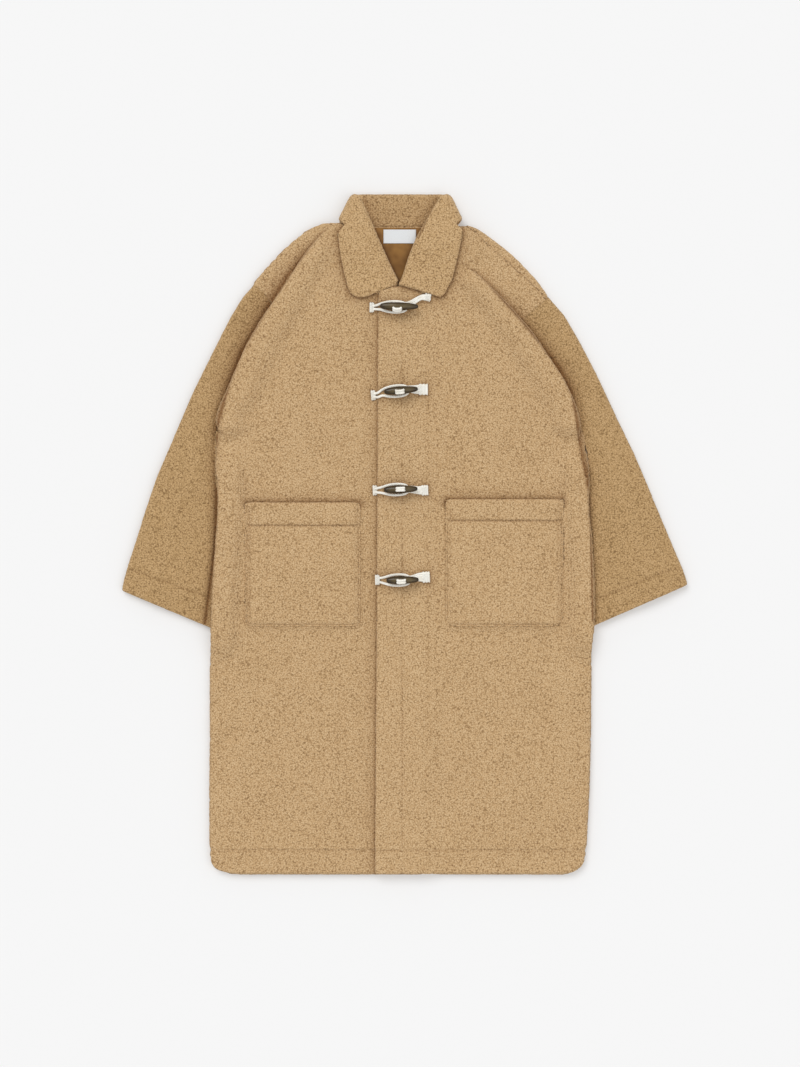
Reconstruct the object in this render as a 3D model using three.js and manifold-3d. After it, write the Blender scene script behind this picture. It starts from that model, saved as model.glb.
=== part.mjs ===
import * as THREE from "three";
import { mergeVertices } from "three/addons/utils/BufferGeometryUtils.js";
import Module from "manifold-3d";

// Teddy fleece duffle coat, laid flat on its back, seen from above.
// Millimetres. X is across (plus is the wearer's left), Y runs up from the hem, Z is up from the floor.
// "out" is a distance from the centre line towards a side.

const solids = await Module();
solids.setup();

// Cloth
const FLEECE = 6;
const HALF = FLEECE / 2;
const LAYER = 6.4;
const TURN = LAYER / 2;
const BACK_MID = HALF;
const FRONT_MID = HALF + LAYER;
const SEAM = 0.25;

// Lifts where one layer lies on another
const NECK_LIFT = 6.4;
const LINING_LIFT = 2.4;
const OVERLAP_LIFT = 6.4;
const SLEEVE_LIFT = 12.9;
const STITCH_WIDTH = 2.4;
const STITCH_DEPTH = 1.1;

// Side line of the front: fold over the shoulder above the armpit, side edge of the body below it.
const SIDE_LEFT = [
  { y: 0, out: 262 }, { y: 1.2, out: 267 }, { y: 3, out: 273 }, { y: 6, out: 279 }, { y: 9, out: 283 },
  { y: 15, out: 287.5 }, { y: 25, out: 290 }, { y: 54, out: 292 }, { y: 134, out: 296 },
  { y: 214, out: 298 }, { y: 342, out: 299 }, { y: 374, out: 301 }, { y: 406, out: 304 }, { y: 476, out: 303 },
  { y: 550, out: 298 }, { y: 574, out: 295 }, { y: 620, out: 292 }, { y: 678, out: 289 }, { y: 721, out: 284 },
  { y: 742, out: 278 }, { y: 765, out: 269 }, { y: 793, out: 255 }, { y: 828, out: 231 }, { y: 864, out: 208 },
  { y: 892, out: 184 }, { y: 918, out: 161 }, { y: 941, out: 137 }, { y: 962, out: 114 }, { y: 976, out: 98 },
  { y: 990, out: 90 }, { y: 1040, out: 84 },
];
const SIDE_RIGHT = [
  { y: 0, out: 268 }, { y: 1.2, out: 279 }, { y: 3, out: 289 }, { y: 6, out: 299 }, { y: 9, out: 303.5 },
  { y: 15, out: 307 }, { y: 25, out: 308.5 }, { y: 118, out: 309 }, { y: 214, out: 308 },
  { y: 342, out: 308 }, { y: 406, out: 306 }, { y: 452, out: 303 }, { y: 494, out: 302 }, { y: 537, out: 298 },
  { y: 572, out: 295 }, { y: 601, out: 294 }, { y: 655, out: 295 }, { y: 684, out: 298 }, { y: 734, out: 301 },
  { y: 748, out: 293 }, { y: 793, out: 274 }, { y: 844, out: 252 }, { y: 885, out: 229 }, { y: 916, out: 207 },
  { y: 950, out: 184 }, { y: 986, out: 162 }, { y: 1015, out: 139 }, { y: 1040, out: 117 },
];

// Shoulder and sleeve outline, from the neck to the cuff
const OUTLINE_LEFT = [
  { y: 1040, out: 96 }, { y: 1036, out: 108 }, { y: 1030, out: 121 }, { y: 1023, out: 130 },
  { y: 1014, out: 145 }, { y: 982, out: 183 }, { y: 950, out: 214 }, { y: 918, out: 236 }, { y: 886, out: 260 },
  { y: 854, out: 279 }, { y: 790, out: 313 }, { y: 726, out: 342 }, { y: 662, out: 372 }, { y: 598, out: 398 },
  { y: 534, out: 426 }, { y: 463, out: 453 },
];
const OUTLINE_RIGHT = [
  { y: 1042, out: 124 }, { y: 1036, out: 140 }, { y: 1030, out: 151 }, { y: 1023, out: 162 },
  { y: 1014, out: 174 }, { y: 982, out: 206 }, { y: 950, out: 236 }, { y: 918, out: 258 }, { y: 886, out: 279 },
  { y: 854, out: 295 }, { y: 790, out: 327 }, { y: 726, out: 356 }, { y: 662, out: 380 }, { y: 598, out: 406 },
  { y: 534, out: 428 }, { y: 456, out: 450 },
];

// Armhole seam from the shoulder point to the armpit
const ARMHOLE_LEFT = [
  { y: 922, out: 232 }, { y: 918, out: 227.5 }, { y: 907, out: 215 }, { y: 894, out: 199 },
  { y: 882, out: 190 }, { y: 868, out: 194 }, { y: 852, out: 207 }, { y: 828, out: 223 }, { y: 793, out: 246 },
  { y: 766, out: 260 }, { y: 742, out: 270 }, { y: 713, out: 283 }, { y: 700, out: 289 }, { y: 690, out: 289 },
];
const ARMHOLE_RIGHT = [
  { y: 943, out: 239.5 }, { y: 927, out: 222 }, { y: 914, out: 212 }, { y: 898, out: 209 }, { y: 882, out: 220 },
  { y: 868, out: 230 }, { y: 846, out: 242 }, { y: 806, out: 260 }, { y: 770, out: 275 }, { y: 742, out: 286 },
  { y: 713, out: 297 }, { y: 700, out: 300 }, { y: 690, out: 299 },
];

// Shoulder seam of the left side, where the back wraps over to the front
const SHOULDER_SEAM = [
  { y: 1040, out: 88 }, { y: 1026, out: 114 }, { y: 1004, out: 137 }, { y: 983, out: 161 }, { y: 962, out: 184 },
  { y: 955, out: 193 }, { y: 943, out: 205 }, { y: 931, out: 217 }, { y: 922, out: 224 }, { y: 918, out: 227.5 },
];

const SHOULDER_CORNER = 918;

// Neck seam, from the shoulder to the centre front
const NECK_LEFT = [
  { y: 1042, out: 88 }, { y: 1035, out: 86 }, { y: 1026, out: 82 }, { y: 1004, out: 74 }, { y: 972, out: 50 },
  { y: 955, out: 28 }, { y: 940, out: 10 },
];
const NECK_RIGHT = [
  { y: 1042, out: 95 }, { y: 1035, out: 93 }, { y: 1026, out: 89 }, { y: 1004, out: 83 }, { y: 972, out: 60 },
  { y: 955, out: 42 }, { y: 938, out: 22 },
];
const NECK_GAP = 0.6;

// How far the front turns back under itself along the fold, and how far it has turned (degrees)
const FOLD_LEFT = [
  { y: 690, depth: 0, turn: 0 }, { y: 700, depth: 1, turn: 60 }, { y: 713, depth: 5, turn: 140 },
  { y: 728, depth: 10, turn: 180 }, { y: 766, depth: 16, turn: 180 }, { y: 882, depth: 16, turn: 180 },
  { y: 907, depth: 11, turn: 180 }, { y: 929, depth: 7, turn: 180 }, { y: 941, depth: 4, turn: 180 },
  { y: 950, depth: 1, turn: 130 }, { y: 962, depth: 0, turn: 30 }, { y: 968, depth: 0, turn: 0 },
];
const FOLD_RIGHT = [
  { y: 690, depth: 0, turn: 0 }, { y: 700, depth: 1, turn: 60 }, { y: 713, depth: 5, turn: 140 },
  { y: 728, depth: 10, turn: 180 }, { y: 766, depth: 16, turn: 180 }, { y: 882, depth: 16, turn: 180 },
  { y: 927, depth: 14, turn: 180 }, { y: 950, depth: 9, turn: 180 }, { y: 983, depth: 5, turn: 180 },
  { y: 1004, depth: 1, turn: 110 }, { y: 1022, depth: 0, turn: 20 }, { y: 1030, depth: 0, turn: 0 },
];

function lookup(table, column, y) {
  const rows = table[0].y < table[table.length - 1].y ? table : [...table].reverse();
  if (y <= rows[0].y) return rows[0][column];
  for (let i = 1; i < rows.length; i += 1) {
    if (y <= rows[i].y) {
      const part = (y - rows[i - 1].y) / (rows[i].y - rows[i - 1].y);
      return rows[i - 1][column] + part * (rows[i][column] - rows[i - 1][column]);
    }
  }
  return rows[rows.length - 1][column];
}

function ramp(from, to, value) {
  const part = Math.min(1, Math.max(0, (value - from) / (to - from)));
  return part * part * (3 - 2 * part);
}

const SIDES = {
  left: {
    sign: 1, side: SIDE_LEFT, outline: OUTLINE_LEFT, armhole: ARMHOLE_LEFT, neck: NECK_LEFT, fold: FOLD_LEFT,
  },
  right: {
    sign: -1, side: SIDE_RIGHT, outline: OUTLINE_RIGHT, armhole: ARMHOLE_RIGHT, neck: NECK_RIGHT,
    fold: FOLD_RIGHT,
  },
};

// Lift of the body over the back of the collar and over the neck lining
const NECK_LINES = [109, 119, 130, 140, 150];
function neckLift(x, y) {
  return NECK_LIFT * ramp(950, 1012, y) * (1 - ramp(109, 150, Math.abs(x)));
}
function liningLift(x, y) {
  return LINING_LIFT * ramp(880, 925, y) * (1 - ramp(100, 175, Math.abs(x)));
}

// Lift of the body's side over the inner strip of the sleeve
const LIFT_FULL = 22;
const LIFT_END = 50;
const LIFT_LINES = [50, 43, 36, 29, 22];
const LIFT_ALONG = [335, 383, 632, 694];
function inLift(y) {
  return y > LIFT_ALONG[0] && y < LIFT_ALONG[3];
}
function sleeveLift(side, out, y) {
  const along = ramp(LIFT_ALONG[0], LIFT_ALONG[1], y) * (1 - ramp(LIFT_ALONG[2], LIFT_ALONG[3], y));
  if (along === 0) return 0;
  const inside = lookup(side.side, "out", y) - out;
  return SLEEVE_LIFT * along * (1 - ramp(LIFT_FULL, LIFT_END, inside));
}

// Lift of the left front over the right front at the closure
const OVERLAP_EDGE = [{ y: 0, out: -45 }, { y: 438, out: -42 }, { y: 886, out: -40 }];
const UNDERLAP_EDGE = 26;
function overlapLift(side, out, y) {
  if (side.sign < 0) return 0;
  return OVERLAP_LIFT * (1 - ramp(28, 66, out)) * (1 - ramp(945, 1000, y));
}

function backMid(side, out, y) {
  return BACK_MID + neckLift(out, y) + sleeveLift(side, out, y);
}
function frontMid(side, out, y) {
  return FRONT_MID + neckLift(out, y) + liningLift(out, y) + sleeveLift(side, out, y)
    + overlapLift(side, out, y);
}

// A cloth body from rows of point pairs. Rows may differ in length. A row's split is the point where its
// turned part starts, and two such rows are joined there point by point.
function clothBody(rows, closed = false) {
  const position = [];
  const triangles = [];
  const index = rows.map((row) => row.map((pair) => pair.map((point) => {
    position.push(...point);
    return position.length / 3 - 1;
  })));
  const span = (a, b) => {
    const step = [0, 1, 2].map((k) => position[3 * a + k] - position[3 * b + k]);
    return Math.hypot(...step);
  };
  const strip = (low, high, flip) => {
    const paired = low.length === high.length;
    let i = 0;
    let j = 0;
    while (i < low.length - 1 || j < high.length - 1) {
      let stepLow = j === high.length - 1 || (paired && j > i);
      const choice = i < low.length - 1 && (!paired || i === j);
      if (!stepLow && choice) stepLow = span(low[i + 1], high[j]) <= span(low[i], high[j + 1]);
      const face = stepLow ? [low[i], low[i + 1], high[j]] : [low[i], high[j + 1], high[j]];
      if (flip) face.reverse();
      triangles.push(...face);
      if (stepLow) i += 1;
      else j += 1;
    }
  };
  for (let r = 0; r < index.length - 1; r += 1) {
    for (const layer of [0, 1]) {
      const low = index[r].map((pair) => pair[layer]);
      const high = index[r + 1].map((pair) => pair[layer]);
      if (closed) {
        low.push(low[0]);
        high.push(high[0]);
      }
      const cuts = [rows[r].split, rows[r + 1].split];
      if (cuts[0] !== undefined && cuts[1] !== undefined) {
        strip(low.slice(0, cuts[0] + 1), high.slice(0, cuts[1] + 1), layer === 1);
        strip(low.slice(cuts[0]), high.slice(cuts[1]), layer === 1);
      } else strip(low, high, layer === 1);
    }
    if (!closed) {
      const first = [index[r][0], index[r + 1][0]];
      const last = [index[r][index[r].length - 1], index[r + 1][index[r + 1].length - 1]];
      triangles.push(first[0][1], first[0][0], first[1][0], first[0][1], first[1][0], first[1][1]);
      triangles.push(last[0][0], last[0][1], last[1][1], last[0][0], last[1][1], last[1][0]);
    }
  }
  for (const [row, flip] of [[index[0], false], [index[index.length - 1], true]]) {
    const loop = closed ? [...row, row[0]] : row;
    for (let i = 0; i < loop.length - 1; i += 1) {
      const face = [loop[i][0], loop[i][1], loop[i + 1][1], loop[i][0], loop[i + 1][1], loop[i + 1][0]];
      if (flip) face.reverse();
      triangles.push(...face);
    }
  }
  const geometry = new THREE.BufferGeometry();
  geometry.setAttribute("position", new THREE.Float32BufferAttribute(position, 3));
  geometry.setIndex(facingOut(position, triangles));
  return geometry;
}

// Triangles turned so that the body's volume is positive
function facingOut(position, triangles) {
  const corner = (i) => new THREE.Vector3(...position.slice(3 * i, 3 * i + 3));
  let volume = 0;
  for (let i = 0; i < triangles.length; i += 3) {
    volume += corner(triangles[i]).dot(corner(triangles[i + 1]).cross(corner(triangles[i + 2])));
  }
  return volume > 0 ? triangles : triangles.reverse();
}

// Pairs around a centre path in a plane of constant y. A turning point is thick along its own normal,
// any other point along the vertical, so that layers that lie on each other keep their gap on a slope.
function pairsFromPath(path, sign, y, thin) {
  return path.map((here, i) => {
    const before = path[Math.max(0, i - 1)];
    const after = path[Math.min(path.length - 1, i + 1)];
    const along = Math.hypot(after.out - before.out, after.z - before.z);
    const normalOut = here.turning ? -(after.z - before.z) / along : 0;
    const normalZ = here.turning ? (after.out - before.out) / along : 1;
    const up = (here.up ?? HALF) * thin;
    const down = (here.down ?? HALF) * thin;
    const top = [sign * (here.out + normalOut * up), y, here.z + normalZ * up];
    const bottom = [sign * (here.out - normalOut * down), y, here.z - normalZ * down];
    return [top, bottom];
  });
}

// Rim of a cut edge: how far in the full thickness starts, and the share of it left at the edge
const RIM_INSET = 2;
const RIM_PART = 0.42;

// A turn of the cloth through an angle, at least MIN_TURN long
const MIN_TURN = 6;
const TURN_STEPS = 4;
function turnPath(from, heading, angle, steps) {
  const radius = Math.abs(angle) < 1e-6 ? Infinity : Math.max(TURN, MIN_TURN / Math.abs(angle));
  const length = radius === Infinity ? MIN_TURN : radius * Math.abs(angle);
  const points = [];
  let { out, z } = from;
  let direction = heading;
  for (let i = 0; i < steps; i += 1) {
    const bend = angle / steps;
    const chord = Math.abs(bend) < 1e-6 ? length / steps : 2 * radius * Math.sin(Math.abs(bend) / 2);
    direction += bend / 2;
    out += chord * Math.cos(direction);
    z += chord * Math.sin(direction);
    direction += bend / 2;
    points.push({ out, z });
  }
  return points;
}

// Rows of the body. A cut edge thins to a share of the cloth over a short way.
const EDGE_THIN = 0.4;
const EDGE_ROW = 2.4;
const STITCH_ROW = 38;
const HEM_ROWS = [
  { y: 0, thin: EDGE_THIN }, { y: EDGE_ROW, thin: 1 }, { y: 7, thin: 1 }, { y: 15, thin: 1 }, { y: 25, thin: 1 },
  { y: STITCH_ROW - STITCH_WIDTH, thin: 1 }, { y: STITCH_ROW, thin: 1 }, { y: STITCH_ROW + STITCH_WIDTH, thin: 1 },
];
const BODY_ROWS = [118, 214, 335, 351, 367, 383, 406, 476, 550, 574, 632, 648, 663, 678];
const ARMPIT = 689;
const NECK_LINES_FROM = 941;
const PLACKET_TOP = 925;

// Rows above the armpit: each corner of the armhole and the shoulder seam, so that the pieces meet there
const SHOULDER_ROWS = [931, 938, 943, 955, 962, 972, 983, 1004, 1026];
function upperRows(side, top) {
  const corner = side.neck[side.neck.length - 1].y;
  const marks = [...side.armhole.map((row) => row.y), 700, 728, ...SHOULDER_ROWS, corner, corner - 4, top];
  return [...new Set(marks)].filter((y) => y <= top).sort((one, other) => one - other);
}

// Lines of a row between two ends, no closer together than a gap
const LINE_GAP = 2;
function linesBetween(low, high, wanted) {
  const kept = [];
  for (const value of [...wanted].sort((a, b) => a - b)) {
    const floor = kept.length ? kept[kept.length - 1] : low;
    if (value > floor + LINE_GAP && value < high - LINE_GAP) kept.push(value);
  }
  return kept;
}

function rimPart(distance) {
  return distance < RIM_INSET / 2 ? RIM_PART : 1;
}

// Front panel: chest, the turn under along the fold, and the part that lies on the shoulder.
const FRONT_TOP = { left: 1034, right: 1040 };
const PLACKET_STITCH = -2;
function frontInner(side, y) {
  const over = side.sign > 0;
  const hidden = over ? lookup(OVERLAP_EDGE, "out", y) : -UNDERLAP_EDGE;
  const corner = side.neck[side.neck.length - 1];
  if (y > corner.y) return lookup(side.neck, "out", y) + NECK_GAP;
  const begin = corner.y - 14;
  if (y <= begin) return hidden;
  return hidden + (corner.out + NECK_GAP - hidden) * ((y - begin) / (corner.y - begin)) ** 3;
}
function frontRow(side, y, thin) {
  const over = side.sign > 0;
  const inner = frontInner(side, y);
  const turn = THREE.MathUtils.degToRad(lookup(side.fold, "turn", y));
  const depth = lookup(side.fold, "depth", y);
  const edge = lookup(side.side, "out", y);
  const folded = y > ARMPIT && turn > 0.1;
  const armholeTop = over ? SHOULDER_CORNER : side.armhole[0].y;
  let shoulderEnd = edge;
  if (y > ARMPIT) {
    if (y <= armholeTop) shoulderEnd = lookup(side.armhole, "out", y) - SEAM;
    else if (over) shoulderEnd = lookup(SHOULDER_SEAM, "out", y) - SEAM;
    else shoulderEnd = lookup(side.outline, "out", y);
  }
  let tail = [];
  let tailOut = 0;
  let drop = 0;
  let start = shoulderEnd;
  if (folded) {
    const first = turnPath({ out: 0, z: 0 }, 0, -turn, TURN_STEPS);
    const corner = first[first.length - 1];
    const length = Math.max(depth, 1);
    const back = { out: corner.out + length * Math.cos(turn), z: corner.z - length * Math.sin(turn) };
    const second = turnPath(back, -turn, turn, TURN_STEPS);
    tail = [...first, back, ...second];
    const end = second[second.length - 1];
    tailOut = end.out;
    drop = -end.z;
    const reach = Math.max(TURN, MIN_TURN / turn) * Math.sin(Math.min(turn, Math.PI / 2));
    start = Math.min(edge - HALF - reach, shoulderEnd - 5 - tailOut);
  }
  const slope = 2.7 * drop;
  const rise = (out) => drop * ramp(start - depth - 8 - slope, start - depth - 8, out);
  const wanted = over ? [28, 47, 66] : [];
  if (y > NECK_LINES_FROM) wanted.push(...NECK_LINES);
  const placket = [PLACKET_STITCH - STITCH_WIDTH, PLACKET_STITCH, PLACKET_STITCH + STITCH_WIDTH];
  if (over) wanted.push(...placket);
  if (folded) for (const share of [1, 0.67, 0.33, 0]) wanted.push(start - depth - 8 - slope * share);
  else if (inLift(y)) wanted.push(...LIFT_LINES.map((inside) => edge - inside));
  const end = folded ? start : start - RIM_INSET;
  const lines = [inner, inner + RIM_INSET, ...linesBetween(inner + RIM_INSET, end, wanted), end];
  if (!folded) lines.push(start);
  const path = lines.map((out) => {
    const distance = folded ? out - inner : Math.min(out - inner, start - out);
    const part = rimPart(distance);
    let sunk = Math.abs(y - STITCH_ROW) < 0.1 ? STITCH_DEPTH : 0;
    if (over && Math.abs(out - PLACKET_STITCH) < 0.1 && y < PLACKET_TOP) sunk = STITCH_DEPTH;
    return { out, z: frontMid(side, out, y) + rise(out), up: (HALF - sunk) * part, down: HALF * part };
  });
  const split = folded ? path.length - 1 : undefined;
  if (folded) {
    for (const point of tail) {
      const out = start + point.out;
      path.push({ out, z: frontMid(side, out, y) + drop + point.z, turning: true });
    }
    const begin = start + tailOut;
    const length = shoulderEnd - begin;
    for (const out of [begin + (length - RIM_INSET) * 0.5, shoulderEnd - RIM_INSET, shoulderEnd]) {
      const part = rimPart(shoulderEnd - out);
      path.push({ out, z: frontMid(side, out, y), up: HALF * part, down: HALF * part });
    }
  }
  return Object.assign(pairsFromPath(path, side.sign, y, thin), { split });
}

function frontPanel(side) {
  const rows = HEM_ROWS.map((row) => frontRow(side, row.y, row.thin));
  for (const y of BODY_ROWS) rows.push(frontRow(side, y, 1));
  const top = side.sign > 0 ? FRONT_TOP.left : FRONT_TOP.right;
  for (const y of upperRows(side, top - EDGE_ROW)) rows.push(frontRow(side, y, 1));
  rows.push(frontRow(side, top, EDGE_THIN));
  return clothBody(rows);
}

// Back panel, with the strip that wraps over the left shoulder to the shoulder seam
const BACK_TOP = 1034;
const WRAP_FROM = 921;
const WRAP_TURN = [915, 940];
function backSide(side, y) {
  const flat = (out, part = 1, sunk = 0) => (
    { out, z: backMid(side, out, y), up: HALF * part, down: (HALF - sunk) * part }
  );
  if (y < ARMPIT) {
    const edge = lookup(side.side, "out", y);
    const sunk = Math.abs(y - STITCH_ROW) < 0.1 ? STITCH_DEPTH * 0.5 : 0;
    const lines = inLift(y) ? LIFT_LINES.map((inside) => edge - inside) : [];
    return [0, ...lines, edge - RIM_INSET, edge].map((out) => flat(out, rimPart(edge - out), sunk));
  }
  const seam = y <= side.armhole[0].y + 0.01;
  const edge = seam ? lookup(side.armhole, "out", y) - SEAM : lookup(side.outline, "out", y);
  const base = y > NECK_LINES_FROM ? NECK_LINES : [];
  const wraps = side.sign > 0 && y > WRAP_FROM;
  if (!wraps) {
    const lines = [0, ...linesBetween(0, edge - RIM_INSET, base), edge - RIM_INSET, edge];
    return lines.map((out) => flat(out, rimPart(edge - out)));
  }
  const turn = Math.PI * ramp(WRAP_TURN[0], WRAP_TURN[1], y);
  const reach = Math.max(TURN, MIN_TURN / turn);
  const length = turn > 3 ? edge - HALF - reach - lookup(SHOULDER_SEAM, "out", y) - SEAM : 4;
  const first = turnPath({ out: 0, z: 0 }, 0, turn, TURN_STEPS);
  const corner = first[first.length - 1];
  const tip = corner.out + length * Math.cos(turn);
  const thickness = HALF * Math.sin(Math.min(turn, Math.PI / 2));
  const furthest = Math.max(tip, ...first.map((point) => point.out)) + thickness;
  const start = edge - furthest;
  const path = [0, ...linesBetween(0, start, base), start].map((out) => flat(out));
  for (const point of first) {
    const out = start + point.out;
    path.push({ out, z: backMid(side, out, y) + point.z, turning: true });
  }
  for (const inside of [RIM_INSET, 0]) {
    const part = rimPart(inside);
    const out = start + corner.out + (length - inside) * Math.cos(turn);
    const z = backMid(side, out, y) + corner.z + (length - inside) * Math.sin(turn);
    path.push({ out, z, up: HALF * part, down: HALF * part, turning: true });
  }
  return Object.assign(path, { turned: first.length + 2 });
}

function backPanel() {
  const marks = [...upperRows(SIDES.left, BACK_TOP - EDGE_ROW), ...SIDES.right.armhole.map((row) => row.y)];
  const upper = [...new Set(marks)].filter((y) => y <= BACK_TOP - EDGE_ROW).sort((a, b) => a - b);
  const rows = [...HEM_ROWS, ...BODY_ROWS.map((y) => ({ y, thin: 1 })), ...upper.map((y) => ({ y, thin: 1 }))];
  rows.push({ y: BACK_TOP, thin: EDGE_THIN });
  return clothBody(rows.map(({ y, thin }) => {
    const right = backSide(SIDES.right, y).map((point) => ({ ...point, out: -point.out }));
    const left = backSide(SIDES.left, y);
    const path = [...right.reverse().slice(0, -1), ...left];
    const split = left.turned ? path.length - 1 - left.turned : undefined;
    return Object.assign(pairsFromPath(path, 1, y, thin), { split });
  }));
}

// Sleeve: a flattened tube from the armhole to the cuff. Its inner edge runs under the body's side.
const SLEEVE_LEFT = {
  ...SIDES.left,
  outer: [
    { x: 227.5, y: 917.7 }, { x: 254, y: 887 }, { x: 274.5, y: 853 }, { x: 293, y: 819 }, { x: 309, y: 789 },
    { x: 338, y: 725 }, { x: 368, y: 661 }, { x: 394, y: 597 }, { x: 420, y: 534 }, { x: 443, y: 480 },
    { x: 446, y: 472 }, { x: 449, y: 460 },
  ],
  inner: [
    { x: 291.5, y: 698 }, { x: 295.8, y: 682 }, { x: 296.7, y: 660 }, { x: 297.5, y: 640 }, { x: 298, y: 621 },
    { x: 288, y: 580 }, { x: 285, y: 540 }, { x: 287, y: 490 }, { x: 289, y: 445 }, { x: 289, y: 412 },
    { x: 289, y: 400 }, { x: 288, y: 389.5 },
  ],
};
const SLEEVE_RIGHT = {
  ...SIDES.right,
  outer: [
    { x: 234.7, y: 938.2 }, { x: 255, y: 915 }, { x: 275, y: 883 }, { x: 291.5, y: 851 }, { x: 308, y: 819 },
    { x: 336, y: 761 }, { x: 365, y: 691 }, { x: 392.5, y: 625 }, { x: 414.5, y: 556 }, { x: 439, y: 478 },
    { x: 442, y: 467 }, { x: 445.5, y: 451 },
  ],
  inner: [
    { x: 302.8, y: 698 }, { x: 304.4, y: 680 }, { x: 302, y: 660 }, { x: 301.4, y: 640 }, { x: 301.5, y: 621 },
    { x: 285, y: 580 }, { x: 284, y: 540 }, { x: 287, y: 490 }, { x: 289, y: 445 }, { x: 290, y: 412 },
    { x: 291, y: 400 }, { x: 291, y: 386 },
  ],
};
const CUFF_STITCH_ROW = 10;
const SLEEVE_PUFF = 3;
const SEAM_STEP = 5;
const SEAM_CLEAR = 1.5;
const SEAM_FADE = 0.55;
function smoothPath(points, part) {
  const place = part * (points.length - 1);
  const i = Math.min(points.length - 2, Math.floor(place));
  const t = place - i;
  return straight(points[i], points[i + 1], t);
}
function straight(from, to, part) {
  return { x: from.x + part * (to.x - from.x), y: from.y + part * (to.y - from.y) };
}
function sleeveRow(sleeve, r) {
  const rows = sleeve.outer.length - 1;
  const v = r / rows;
  const [armpit, top] = [sleeve.inner[0], sleeve.outer[0]];
  const between = sleeve.armhole.filter(({ y }) => y > armpit.y + SEAM_STEP && y < top.y - SEAM_STEP);
  const seam = between.map((row) => ({ x: row.out + SEAM, y: row.y }));
  const count = seam.length + 1;
  const outer = smoothPath(sleeve.outer, v);
  const inner = smoothPath(sleeve.inner, v);
  const first = { outer: sleeve.outer[0], inner: sleeve.inner[0] };
  const points = [outer];
  seam.forEach((place, i) => {
    const w = (i + 1) / count;
    const chord = straight(first.outer, first.inner, w);
    const here = straight(outer, inner, w);
    const keep = (1 - Math.min(1, v / SEAM_FADE)) ** 1.6;
    const y = here.y + keep * (place.y - chord.y);
    const clear = r > 0 && y > armpit.y ? lookup(sleeve.armhole, "out", y) + SEAM + SEAM_CLEAR : 0;
    points.push({ x: Math.max(clear, here.x + keep * (place.x - chord.x)), y });
  });
  points.push(inner);
  const middle = BACK_MID + TURN;
  const heading = (from, to) => {
    const length = Math.hypot(to.x - from.x, to.y - from.y);
    return { x: (to.x - from.x) / length, y: (to.y - from.y) / length };
  };
  const atOuter = heading(points[1], outer);
  const atInner = heading(points[count - 1], inner);
  const ring = [];
  const place = (point, lean, z, up, sunk = 0) => {
    const pair = [HALF - sunk, -HALF].map((half) => [
      sleeve.sign * (point.x + lean.x * half), point.y + lean.y * half, z + up * half,
    ]);
    ring.push(pair);
  };
  const turnAround = (end, direction, angles) => {
    for (const angle of angles) {
      const turn = THREE.MathUtils.degToRad(angle);
      const lean = { x: direction.x * Math.sin(turn), y: direction.y * Math.sin(turn) };
      const tip = { x: end.x + lean.x * TURN, y: end.y + lean.y * TURN };
      place(tip, lean, middle + TURN * Math.cos(turn), Math.cos(turn));
    }
  };
  const upright = { x: 0, y: 0 };
  const sunk = r === CUFF_STITCH_ROW ? STITCH_DEPTH : 0;
  const puff = (w) => SLEEVE_PUFF * Math.sin(Math.PI * Math.min(1, w / 0.6)) ** 2 * ramp(0.25, 0.5, v);
  points.forEach((point, i) => place(point, upright, middle + TURN + puff(i / count), 1, sunk));
  turnAround(inner, atInner, [45, 90, 135]);
  [...points].reverse().forEach((point) => place(point, upright, middle - TURN, -1, sunk / 2));
  turnAround(outer, atOuter, [135, 90, 45]);
  return ring;
}
function sleeveTube(sleeve) {
  const rows = sleeve.outer.map((_, r) => sleeveRow(sleeve, r));
  return clothBody(rows, true);
}

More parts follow.
